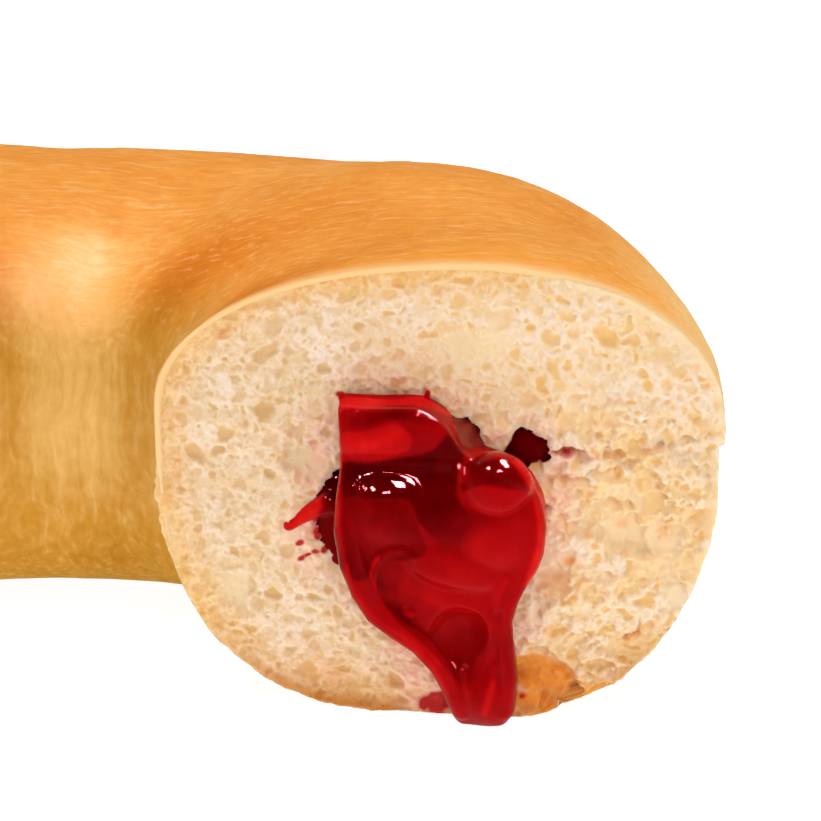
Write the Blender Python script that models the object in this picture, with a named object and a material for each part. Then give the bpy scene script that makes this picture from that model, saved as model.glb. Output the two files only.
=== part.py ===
"""Half of a filled ring doughnut, cut straight across through its hole.

The dough is a half ring of baked yeast dough with a channel running through it from one cut face to the
other. The jelly fills the channel, hangs out over the right-hand cut face in a thick tongue that reaches
down to the surface the doughnut rests on, and bulges a little at the left-hand face.

Lengths are written in millimetres and turned to metres by MM. While the shapes are made, the ring's axis
is the Z axis, the cut is the plane y = 0 and the dough lies at y > 0. An empty then moves both pieces, so
that the origin is the middle of the whole thing's footprint.
"""

import math

import bpy
import bmesh
import numpy as np

MM = 0.001

# Ring: plan of the tube's middle line
RING_RADIUS = 28.9
BACK_STRETCH = 0.033          # how much farther out the middle line runs at the back than at the cuts
SHOULDER_STRETCH = 0.066      # and on the slants between, which makes the ring a little square
BACK_NARROW = 0.922           # width of the tube at the back, against its width at the cuts
BACK_LOW = 0.903              # and its height

# Tube: section of the dough at the cut, as four quarters of superellipses that meet at the crown centre
CROWN_OFFSET = 2.8            # crown centre lies this far outward from the middle line
CROWN_HEIGHT = 24.6           # and this high above the resting plane
TO_HOLE = 24.0                # half-sizes from the crown centre
TO_OUTSIDE = 18.3
TO_TOP = 11.9
TO_BOTTOM = 24.9
POWER_TOP_HOLE = 2.1
POWER_TOP_OUTSIDE = 2.0
POWER_BOTTOM_HOLE = 3.1
POWER_BOTTOM_OUTSIDE = 2.5
SWELL = 0.35                  # soft unevenness of the baked skin

# Channel that the filling lies in
CHANNEL_OFFSET = -0.4
CHANNEL_HEIGHT = 19.7
CHANNEL_HALF_WIDTH = 8.5
CHANNEL_HALF_HEIGHT = 6.6
CHANNEL_POWER = 2.3
CHANNEL_RAGGED = 0.35         # how unevenly the dough was pushed aside

# Jelly
GAP = 0.3                     # clearance between the jelly and the dough
NECK = 0.16                   # share by which the jelly draws in just inside each cut face
NECK_DEPTH = 4.5
OVERHANG = 1.2                # the core reaches this far in front of the cut, into the spilled jelly

# Tongue on the right-hand face: height, hole-side edge, outer edge, thickness
TONGUE = (
    (26.7, -6.3, -1.9, 1.2),
    (25.6, -7.1, 1.5, 2.8),
    (23.8, -7.2, 3.8, 3.3),
    (21.4, -7.2, 6.8, 3.7),
    (18.5, -7.4, 8.0, 4.6),
    (15.5, -7.4, 8.1, 5.0),
    (12.8, -6.9, 7.3, 4.9),
    (10.3, -6.0, 6.2, 4.4),
    (8.4, -4.6, 5.8, 4.0),
    (6.4, -2.1, 6.0, 3.6),
    (4.2, -0.4, 6.1, 3.3),
    (2.0, 0.8, 5.7, 2.9),
    (0.4, 2.2, 4.6, 1.8),
)
# Bulge on the left-hand face, given the same way
BULGE = (
    (25.6, -4.2, 1.2, 0.9),
    (24.4, -6.3, 4.4, 2.0),
    (21.0, -7.6, 6.6, 2.8),
    (17.5, -7.0, 6.9, 3.3),
    (14.6, -5.2, 5.6, 3.2),
    (12.4, -3.4, 4.0, 2.6),
    (11.0, -1.6, 2.2, 1.4),
)
# Forms on the tongue's front: height, offset, half-height, half-width, how far they stand out
TONGUE_FORMS = (
    (18.9, 4.9, 2.6, 2.6, 0.9),       # round bead at the outer side
    (23.6, -2.2, 1.6, 4.2, 0.6),      # folded piece at the top
    (20.6, -1.6, 0.7, 4.6, -0.9),     # crease under it
    (14.2, -5.4, 5.0, 1.3, 0.7),      # rolled rim down the hole side
    (13.6, -2.6, 3.6, 1.2, -0.8),     # hollow beside the rim
    (9.0, 1.4, 3.0, 2.2, 0.5),        # ridge that runs down into the tip
)
BULGE_FORMS = (
    (19.8, -2.6, 2.2, 3.2, 0.5),
    (16.4, 2.4, 2.0, 2.4, 0.5),
)

# Fineness of the meshes
STATIONS = 36                 # along the half ring
SECTION_POINTS = 48
CHANNEL_POINTS = 26
TONGUE_ROWS = 34
BULGE_ROWS = 18
FRONT_POINTS = 18
BACK_POINTS = 5


def superellipse(angle, halves, powers):
    """Radius at a polar angle, with half-sizes (left, right, top, bottom) and a power for each quarter."""
    left, right, top, bottom = halves
    across, up = math.cos(angle), math.sin(angle)
    half_width = right if across > 0 else left
    half_height = top if up > 0 else bottom
    power = powers[("top" if up > 0 else "bottom", "right" if across > 0 else "left")]
    return (abs(across / half_width) ** power + abs(up / half_height) ** power) ** (-1 / power)


def dough_section():
    """Outline of the dough at the cut, as (offset from the middle line, height) points."""
    halves = (TO_HOLE, TO_OUTSIDE, TO_TOP, TO_BOTTOM)
    powers = {
        ("top", "left"): POWER_TOP_HOLE,
        ("top", "right"): POWER_TOP_OUTSIDE,
        ("bottom", "left"): POWER_BOTTOM_HOLE,
        ("bottom", "right"): POWER_BOTTOM_OUTSIDE,
    }
    points = []
    for i in range(SECTION_POINTS):
        angle = math.tau * i / SECTION_POINTS
        radius = superellipse(angle, halves, powers)
        height = CROWN_HEIGHT + radius * math.sin(angle)
        points.append((CROWN_OFFSET + radius * math.cos(angle), max(height, 0.0)))
    return points


def channel_section(inset=0.0, scale=1.0):
    """Outline of the channel, drawn in by inset and then scaled about its middle."""
    halves = (CHANNEL_HALF_WIDTH, CHANNEL_HALF_WIDTH, CHANNEL_HALF_HEIGHT, CHANNEL_HALF_HEIGHT)
    powers = {(v, h): CHANNEL_POWER for v in ("top", "bottom") for h in ("left", "right")}
    points = []
    for i in range(CHANNEL_POINTS):
        angle = math.tau * i / CHANNEL_POINTS
        ragged = CHANNEL_RAGGED * (math.sin(3 * angle + 0.6) + 0.6 * math.sin(5 * angle + 2.1))
        radius = (superellipse(angle, halves, powers) + ragged - inset) * scale
        points.append((
            CHANNEL_OFFSET + radius * math.cos(angle),
            CHANNEL_HEIGHT + radius * math.sin(angle),
        ))
    return points


def along_ring(points, turn, ahead=0.0):
    """Places a section on the half ring at an angle from the right-hand cut, moved ahead in -Y."""
    to_back = math.sin(turn) ** 2
    to_slant = math.sin(2 * turn) ** 2
    radius = RING_RADIUS * (1 + BACK_STRETCH * to_back + SHOULDER_STRETCH * to_slant)
    width = 1 + (BACK_NARROW - 1) * to_back
    height = 1 + (BACK_LOW - 1) * to_back
    placed = []
    for offset, up in points:
        out = radius + offset * width
        placed.append((out * math.cos(turn), out * math.sin(turn) - ahead, up * height))
    return placed


def swollen(points, turn):
    """The section with the skin's soft unevenness, which fades out at the cuts and at the foot."""
    fade = math.sin(turn)
    moved = []
    for offset, up in points:
        lift = min(up / CROWN_HEIGHT, 1.0)
        wave = math.sin(5 * turn + 0.4 + up / 9) + 0.7 * math.sin(9 * turn + offset / 8)
        grow = 1 + SWELL * wave * fade * lift / CROWN_HEIGHT
        moved.append((CROWN_OFFSET + (offset - CROWN_OFFSET) * grow, up * grow))
    return moved


def add_rings(mesh, rings):
    """Adds closed rings of vertices, joined in turn by quads, and returns the vertices."""
    placed = [[mesh.verts.new([MM * c for c in point]) for point in ring] for ring in rings]
    for near, far in zip(placed, placed[1:]):
        count = len(near)
        for i in range(count):
            j = (i + 1) % count
            mesh.faces.new((near[i], near[j], far[j], far[i]))
    return placed


def finish_object(name, mesh, material):
    """Turns a bmesh into a named, smooth-shaded object."""
    bmesh.ops.recalc_face_normals(mesh, faces=mesh.faces)
    data = bpy.data.meshes.new(name)
    mesh.to_mesh(data)
    mesh.free()
    data.shade_smooth()
    data.set_sharp_from_angle(angle=math.radians(40))
    thing = bpy.data.objects.new(name, data)
    bpy.context.scene.collection.objects.link(thing)
    if material:
        data.materials.append(material)
    return thing


def make_material(name, colour, roughness):
    material = bpy.data.materials.new(name)
    material.use_nodes = True
    shader = material.node_tree.nodes["Principled BSDF"]
    shader.inputs["Base Color"].default_value = (*colour, 1.0)
    shader.inputs["Roughness"].default_value = roughness
    shader.inputs["Metallic"].default_value = 0.0
    return material


def make_dough(material):
    """Half ring with a channel through it: an outer skin, an inner wall and a ring-shaped face at each cut."""
    turns = [math.pi * i / STATIONS for i in range(STATIONS + 1)]
    outline = dough_section()
    channel = channel_section()
    mesh = bmesh.new()
    skin = add_rings(mesh, [along_ring(swollen(outline, turn), turn) for turn in turns])
    wall = add_rings(mesh, [along_ring(channel, turn) for turn in turns])
    for end in (0, -1):
        rims = []
        for loop in (skin[end], wall[end]):
            rims += [mesh.edges.get((loop[i - 1], loop[i])) for i in range(len(loop))]
        bmesh.ops.triangle_fill(mesh, edges=rims, use_beauty=True)
    return finish_object("dough", mesh, material)


def make_core():
    """The jelly in the channel, drawn in a little behind each cut face."""
    depth = math.pi * RING_RADIUS / STATIONS
    rings = []
    for i in range(STATIONS + 1):
        from_cut = min(i, STATIONS - i) * depth
        scale = 1 - NECK * math.exp(-(from_cut / NECK_DEPTH) ** 2)
        rings.append(along_ring(channel_section(GAP, scale), math.pi * i / STATIONS))
    ends = channel_section(GAP, 1 - NECK)
    rings.insert(0, along_ring(ends, 0.0, OVERHANG))
    rings.append(along_ring(ends, math.pi, OVERHANG))
    mesh = bmesh.new()
    placed = add_rings(mesh, rings)
    mesh.faces.new(placed[0])
    mesh.faces.new(placed[-1])
    return finish_object("core", mesh, None)


def slope(stations, i, column):
    """Rate of change at a station, from its two neighbours."""
    low, high = max(i - 1, 0), min(i + 1, len(stations) - 1)
    return (stations[high][column] - stations[low][column]) / (stations[high][0] - stations[low][0])


def between(stations, height, column):
    """Smooth curve through one column of the stations, read at a height."""
    i = 0
    while i < len(stations) - 2 and height < stations[i + 1][0]:
        i += 1
    step = stations[i + 1][0] - stations[i][0]
    t = (height - stations[i][0]) / step
    start, end = stations[i][column], stations[i + 1][column]
    leave, arrive = slope(stations, i, column) * step, slope(stations, i + 1, column) * step
    return (
        (2 * t**3 - 3 * t**2 + 1) * start
        + (t**3 - 2 * t**2 + t) * leave
        + (3 * t**2 - 2 * t**3) * end
        + (t**3 - t**2) * arrive
    )


def relief(forms, offset, height):
    """How far the forms push the jelly's front out at one place."""
    total = 0.0
    for form_height, form_offset, half_height, half_width, out in forms:
        far = ((height - form_height) / half_height) ** 2 + ((offset - form_offset) / half_width) ** 2
        total += out * math.exp(-far)
    return total


def make_spill(name, stations, forms, rows, side):
    """Jelly lying on a cut face, as slices from top to bottom. side is +1 on the right face, -1 on the left."""
    rings = []
    for row in range(rows + 1):
        height = stations[0][0] + (stations[-1][0] - stations[0][0]) * row / rows
        inner, outer, thick = (between(stations, height, column) for column in (1, 2, 3))
        middle, half = (inner + outer) / 2, (outer - inner) / 2
        ring = []
        for i in range(FRONT_POINTS + 1):
            angle = math.pi * i / FRONT_POINTS
            bow = math.sin(angle) ** 0.75
            offset = middle + half * math.cos(angle)
            proud = bow * (thick + bow * relief(forms, offset, height))
            ring.append((side * (RING_RADIUS + offset), -GAP - proud, height))
        for i in range(1, BACK_POINTS + 1):
            offset = inner + (outer - inner) * i / (BACK_POINTS + 1)
            ring.append((side * (RING_RADIUS + offset), -GAP, height))
        rings.append(ring)
    mesh = bmesh.new()
    placed = add_rings(mesh, rings)
    mesh.faces.new(placed[0])
    mesh.faces.new(placed[-1])
    return finish_object(name, mesh, None)


def join_solids(name, whole, parts, material):
    """Joins the parts to the whole with exact unions and keeps the result as one mesh."""
    for part in parts:
        union = whole.modifiers.new("join " + part.name, "BOOLEAN")
        union.operation = "UNION"
        union.solver = "EXACT"
        union.object = part
    bpy.context.view_layer.update()
    joined = bpy.data.meshes.new_from_object(whole.evaluated_get(bpy.context.evaluated_depsgraph_get()))
    mesh = bmesh.new()
    mesh.from_mesh(joined)
    for thing in [whole, *parts]:
        bpy.data.objects.remove(thing)
    bpy.data.meshes.remove(joined)
    return finish_object(name, mesh, material)


def make_jelly(material):
    core = make_core()
    tongue = make_spill("tongue", TONGUE, TONGUE_FORMS, TONGUE_ROWS, 1)
    bulge = make_spill("bulge", BULGE, BULGE_FORMS, BULGE_ROWS, -1)
    return join_solids("jelly", core, [tongue, bulge], material)


def centre_on_footprint(things):
    """Parents the pieces to an empty that puts the middle of their shared footprint at the origin."""
    corners = np.array([v.co for thing in things for v in thing.data.vertices])
    middle = (corners.min(axis=0) + corners.max(axis=0)) / 2
    seat = bpy.data.objects.new("seat", None)
    bpy.context.scene.collection.objects.link(seat)
    seat.location = (-middle[0], -middle[1], 0.0)
    for thing in things:
        thing.parent = seat


def main():
    for thing in list(bpy.data.objects):
        bpy.data.objects.remove(thing)
    crust = make_material("baked dough", (0.82, 0.42, 0.13), 0.5)
    preserve = make_material("red jelly", (0.45, 0.006, 0.01), 0.1)
    centre_on_footprint([make_dough(crust), make_jelly(preserve)])


main()
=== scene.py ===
import math

import bpy
import numpy as np
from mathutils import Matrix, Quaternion, Vector
from mathutils.geometry import delaunay_2d_cdt


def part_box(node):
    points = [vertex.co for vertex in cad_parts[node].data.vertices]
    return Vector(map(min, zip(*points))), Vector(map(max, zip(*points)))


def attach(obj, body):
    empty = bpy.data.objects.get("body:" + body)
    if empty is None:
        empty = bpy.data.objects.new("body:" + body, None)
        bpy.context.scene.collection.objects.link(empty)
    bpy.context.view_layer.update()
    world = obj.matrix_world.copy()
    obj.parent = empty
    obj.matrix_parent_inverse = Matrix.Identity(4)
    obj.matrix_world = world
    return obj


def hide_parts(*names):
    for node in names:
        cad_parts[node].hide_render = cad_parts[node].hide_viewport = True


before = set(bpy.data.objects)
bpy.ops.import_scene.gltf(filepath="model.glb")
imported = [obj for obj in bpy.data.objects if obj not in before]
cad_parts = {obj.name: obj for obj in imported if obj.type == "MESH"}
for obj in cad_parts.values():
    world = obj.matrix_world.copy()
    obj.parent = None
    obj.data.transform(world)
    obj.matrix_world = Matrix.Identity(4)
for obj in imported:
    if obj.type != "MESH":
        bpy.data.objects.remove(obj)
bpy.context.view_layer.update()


# ---------------------------------------------------------------------------------------------- crust
# The skin of the doughnut: yeast dough proved, shaped into a ring and cooked until golden. It is one
# closed skin all round the tube, pulled into fine wrinkles as it set, and it was cut with the crumb.

MM = 0.001
DOUGH_LOW, DOUGH_HIGH = (np.array(corner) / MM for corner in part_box("dough"))
AXIS_X = (DOUGH_LOW[0] + DOUGH_HIGH[0]) / 2      # the ring's axis stands here, on the plane of the cut
CUT_Y = DOUGH_LOW[1]
OUTER_RADIUS = (DOUGH_HIGH[0] - DOUGH_LOW[0]) / 2
DOUGH_TALL = DOUGH_HIGH[2] - DOUGH_LOW[2]

TO_OUTSIDE = 18.3                                # half-sizes of the section, from its crown centre
TO_HOLE = 24.0
TO_TOP = 11.9
TO_BOTTOM = 24.9
OUTSIDE_LIFT = 0.5                               # the bottom stands higher by this on the outside
TOP_POWERS = (2.0, 2.1)                          # how square the section is, on the outside and in the hole
BOTTOM_POWERS = (2.45, 2.95)
CROWN_OFFSET = 2.8
CROWN_HEIGHT = DOUGH_TALL - TO_TOP
RING_RADIUS = OUTER_RADIUS - TO_OUTSIDE - CROWN_OFFSET
BACK_STRETCH = 0.033                             # the ring is this share longer than round at the back
SHOULDER_STRETCH = 0.066                         # and halfway to it
BACK_NARROW = 0.922                              # the tube's width and height at the back, as shares
BACK_LOW = 0.893
SHOULDER_LOW = 0.013                             # the tube sinks by this share just behind the cuts,
SHOULDER_AT = 0.34                               # at this angle from them and over this much of the ring
SHOULDER_LONG = 0.22
SWELL = 0.35                                     # mm that the tube swells and shrinks along the ring

SKIN_ROUND = 196                                 # vertices round the section and along the ring
SKIN_ALONG = 452
EDGE_RADIUS = 0.25                               # the knife left the crust's edge slightly rounded
CRUST_THICK = 0.42
BARE_BACK = 0.8                                  # the crust stops this far behind the cut at a bare edge
SKIN_RELIEF = 0.05
EDGE_SHARES = (0.3, 1.0, 1.0, 1.0, 1.0, 1.0)     # how much of the cut's colour the rings at its edge have
NOTCH = (-5.5, 16.0, 0.50)                       # where the edge tore on the outside: angle, length, depth

# How brown the skin is, from 0 to 1, round a base of 0.5, with a painted sheen and painted shade in places
# noted
# below: angle round the ring from a cut, angle of the section in degrees (0 outside, 90 top, 180 in the
# hole), their half-widths, and the change
BROWNED = (
    (0.75, 132, 0.30, 26, 0.13),
    (1.00, 162, 0.20, 17, 0.42),
    (1.13, 190, 0.12, 22, 0.16),
    (0.20, 150, 0.16, 30, 0.22),
    # paler at the back of the hole: the pale band that frying leaves, and a painted sheen
    (1.57, 158, 0.34, 13, -0.26),
    (1.57, 147, 0.16, 8, -0.22),
    (1.50, 192, 0.30, 14, -0.14),
    # browner low in the hole at the back: browning, and painted shade on the wall that faces down
    (1.57, 226, 0.90, 20, 0.34),
    (0.10, 14, 0.40, 26, -0.42),
    (0.30, 45, 0.25, 16, 0.06),
    (1.57, 270, 1.60, 22, 0.35),
)


def lattice_noise(points, size, seed):
    """Smooth noise from -1 to 1 with features of the given size, read at an array of points."""
    table = np.random.default_rng(seed).random((64, 64, 64)) * 2 - 1
    p = np.asarray(points, float) / size
    cell = np.floor(p).astype(int)
    t = p - cell
    t = t * t * t * (t * (t * 6 - 15) + 10)
    total = np.zeros(p.shape[:-1])
    for corner in range(8):
        step = np.array([corner & 1, corner >> 1 & 1, corner >> 2 & 1])
        share = np.prod(np.where(step, t, 1 - t), axis=-1)
        i, j, k = np.moveaxis((cell + step) % 64, -1, 0)
        total += share * table[i, j, k]
    return total


def section_radius(angle):
    """Distance from the crown centre to the skin at a polar angle of the section."""
    across, up = np.cos(angle), np.sin(angle)
    half_width = np.where(across > 0, TO_OUTSIDE, TO_HOLE)
    half_height = np.where(up > 0, TO_TOP, TO_BOTTOM - OUTSIDE_LIFT * np.clip(4 * across, 0, 1))
    power = np.where(up > 0, np.where(across > 0, *TOP_POWERS), np.where(across > 0, *BOTTOM_POWERS))
    return (np.abs(across / half_width) ** power + np.abs(up / half_height) ** power) ** (-1 / power)


def section_point(angle, inset=0.0):
    """(offset from the tube's middle line, height) on the skin, or inset into the dough."""
    radius = section_radius(angle) - inset
    offset = CROWN_OFFSET + radius * np.cos(angle)
    return offset, np.maximum(CROWN_HEIGHT + radius * np.sin(angle), np.minimum(inset, 0.4) * 0.5)


def torn_edge(angle):
    """How far the dough's edge is torn back at a polar angle of the section: a step, then a slow return."""
    below = NOTCH[0] - ((np.degrees(angle) + 180) % 360 - 180)
    return NOTCH[2] * np.clip(below / 0.9, 0, 1) * np.clip(1 - below / NOTCH[1], 0, 1)


def bare_edge(angle):
    """Where the crumb shows right out to the edge, from 0 to 1: on the outside and at the bottom."""
    return np.clip(np.maximum(np.cos(angle) * 2 - 0.9, -np.sin(angle) * 2.2 - 1.0), 0, 1)


def on_ring(offset, height, turn, behind=0.0):
    """Point in mm of a place in the section, at an angle round the ring from the right-hand cut."""
    to_back = np.sin(turn) ** 2
    radius = RING_RADIUS * (1 + BACK_STRETCH * to_back + SHOULDER_STRETCH * np.sin(2 * turn) ** 2)
    out = radius + offset * (1 + (BACK_NARROW - 1) * to_back)
    tall = height * (1 + (BACK_LOW - 1) * to_back)
    half_turn = np.minimum(turn, math.pi - turn)
    tall = tall * (1 - SHOULDER_LOW * np.exp(-(((half_turn - SHOULDER_AT) / SHOULDER_LONG) ** 2)))
    x, y = AXIS_X + out * np.cos(turn), CUT_Y + out * np.sin(turn) + behind
    return np.stack(np.broadcast_arrays(x, y, tall), axis=-1)


def make_piece(name, points, faces, smooth=True):
    """Mesh object from points in mm and faces."""
    data = bpy.data.meshes.new(name)
    data.from_pydata((np.asarray(points) * MM).tolist(), [], faces)
    data.validate()
    if smooth:
        data.shade_smooth()
    piece = bpy.data.objects.new(name, data)
    bpy.context.scene.collection.objects.link(piece)
    return piece


def give_values(piece, name, values):
    """Stores one number for each vertex, for the material to read."""
    layer = piece.data.attributes.new(name, "FLOAT", "POINT")
    layer.data.foreach_set("value", np.asarray(values, np.float32))


def tube_faces(rows, columns):
    """Quads of a closed tube of rows, each with so many columns."""
    i = np.arange(rows - 1)[:, None] * columns
    j = np.arange(columns)[None]
    k = (j + 1) % columns
    quads = np.stack(np.broadcast_arrays(i + j, i + k, i + k + columns, i + j + columns), axis=-1)
    return quads.reshape(-1, 4)


def skin_rows(angle, turn):
    """The skin from cut to cut: slight swells, fine relief, and the torn notch in its outside edge."""
    offset, height = section_point(angle)
    lift = np.minimum(height / CROWN_HEIGHT, 1.0)
    wave = np.sin(5 * turn + 0.4 + height / 9) + 0.7 * np.sin(9 * turn + offset / 8)
    grow = 1 + SWELL * wave * np.sin(turn) * lift / CROWN_HEIGHT
    offset = CROWN_OFFSET + (offset - CROWN_OFFSET) * grow
    height = height * grow
    skin = on_ring(offset, height, turn)
    away = np.stack([np.cos(angle) * np.cos(turn), np.cos(angle) * np.sin(turn), np.sin(angle)], -1)
    push = lattice_noise(skin, 2.6, 11) + 0.7 * lattice_noise(skin * (1, 1, 1.6), 1.1, 12)
    from_cut = np.minimum(skin[..., 1] - CUT_Y, OUTER_RADIUS)
    notch = torn_edge(angle) * np.exp(-((from_cut / 5.0) ** 2)) * (turn < 1)
    skin = skin + away * (SKIN_RELIEF * push * np.clip(height / 4, 0, 1) - 0.02 - notch)[..., None]
    # near the cuts the skin stops short of the plane by the edge's radius
    skin[..., 1] = CUT_Y + np.hypot(skin[..., 1] - CUT_Y, EDGE_RADIUS + BARE_BACK * bare_edge(angle))
    return skin


def edge_rings(angles, end):
    """Rings that round off the crust's edge at a cut, cross its thickness, and go in behind the crumb."""
    steps = [(EDGE_RADIUS * (1 - math.cos(a)), EDGE_RADIUS * (1 - math.sin(a))) for a in (0.5, 1.0, 1.57)]
    steps += [(CRUST_THICK * 0.75, 0.0), (CRUST_THICK, 0.05), (CRUST_THICK * 1.5, 0.5)]
    rings = []
    for inward, behind in steps:
        offset, height = section_point(angles, inward + torn_edge(angles) * (end == 0))
        rings.append(on_ring(offset, height, end, behind + BARE_BACK * bare_edge(angles)))
    return np.array(rings)


def brown_crust(piece, around, along):
    """Stores how brown (with a painted sheen and painted shade), golden, fresh, low and worn the skin is,
    from its two angles.
    """
    degrees = np.degrees(around)
    half_turn = np.minimum(along, math.pi - along)
    brown = np.full(len(around), 0.5)
    for turn_at, angle_at, half_along, half_around, change in BROWNED:
        gap = (degrees - angle_at + 180) % 360 - 180
        brown += change * np.exp(-(((half_turn - turn_at) / half_along) ** 2) - (gap / half_around) ** 2)
    hole_side = np.clip((np.abs((degrees - 205 + 180) % 360 - 180) - 30) / 22, 0, 1)
    upper, outer = np.clip(np.sin(around), 0, 1), np.clip(np.cos(around), 0, 1)
    near_cut = half_turn * np.maximum(RING_RADIUS + OUTER_RADIUS * 0.4 * np.cos(around), 8)
    worn = np.exp(-((near_cut / 1.0) ** 2)) + 0.8 * np.exp(-((near_cut / 2.0) ** 2)) * outer
    give_values(piece, "brown", brown)
    give_values(piece, "golden", 1 - hole_side * hole_side * (3 - 2 * hole_side))
    give_values(piece, "fresh", np.exp(-((half_turn * RING_RADIUS / 3.4) ** 2)) * upper)
    give_values(piece, "worn", np.clip(worn, 0, 1) * np.clip(np.sin(around) * 1.5 + 0.8, 0, 1) * 0.8)
    give_values(piece, "low", np.clip(-np.sin(around) * 1.6 - 0.5, 0, 1))


def make_crust():
    angles = math.tau * (np.arange(SKIN_ROUND) / SKIN_ROUND - 0.25)      # from the bottom, up the outside
    turns = np.linspace(0, math.pi, SKIN_ALONG)
    skin = skin_rows(*np.meshgrid(angles, turns))
    points = np.concatenate([edge_rings(angles, 0.0)[::-1], skin, edge_rings(angles, math.pi)])
    rows = len(points)
    faces = tube_faces(rows, SKIN_ROUND)[:, ::-1].tolist()
    piece = make_piece("crust", points.reshape(-1, 3), faces)
    edge = len(EDGE_SHARES)
    shares = np.concatenate([EDGE_SHARES[::-1], np.zeros(SKIN_ALONG), EDGE_SHARES])
    give_values(piece, "cut", shares.repeat(SKIN_ROUND))
    along = np.concatenate([np.zeros(edge), turns, np.full(edge, math.pi)])
    brown_crust(piece, np.tile(angles, rows), along.repeat(SKIN_ROUND))
    return piece


def linear(hex_colour):
    """sRGB hex value as linear red, green, blue and full alpha."""
    parts = [int(hex_colour[i:i + 2], 16) / 255 for i in (1, 3, 5)]
    return [c / 12.92 if c <= 0.04045 else ((c + 0.055) / 1.055) ** 2.4 for c in parts] + [1.0]


def set_up(tree, made, node, settings):
    """Gives a node its properties, and its sockets by name or number.

    A socket takes a plain value, a colour as #RRGGBB, or the name of an earlier output, to be linked."""
    for key, value in settings.items():
        if key == "stops":
            for place, _ in value[1:-1]:
                node.color_ramp.elements.new(place)
            for element, (_, colour) in zip(node.color_ramp.elements, value):
                element.color = linear(colour)
        elif isinstance(key, str) and hasattr(node, key):
            setattr(node, key, value)
        elif value in made:
            tree.links.new(made[value], node.inputs[key])
        else:
            node.inputs[key].default_value = linear(value) if isinstance(value, str) else value


def add_node(tree, made, name, kind, output, settings):
    """Adds a node with its settings and links, and keeps one of its outputs under a name."""
    node = tree.nodes.new("ShaderNode" + kind)
    set_up(tree, made, node, settings)
    made[name] = node.outputs[output]


def new_material(name, values=()):
    """Material, its node tree, its shader, and the outputs made so far: the vertex values by name."""
    material = bpy.data.materials.new(name)
    material.use_nodes = True
    tree, made = material.node_tree, {}
    for value in values:
        add_node(tree, made, value, "Attribute", "Fac", {"attribute_name": value})
    return material, tree, tree.nodes["Principled BSDF"], made


# The skin from palest to brownest, on its outside and towards the hole
ORANGE_SKIN = ((0.0, "#FFD894"), (0.28, "#FEB45E"), (0.5, "#F39C42"), (0.72, "#E5862C"), (1.0, "#CE6E17"))
GOLDEN_SKIN = ((0.0, "#F5D58E"), (0.28, "#E9BC6E"), (0.5, "#D9A756"), (0.72, "#C88F34"), (1.0, "#AC7414"))


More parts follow.
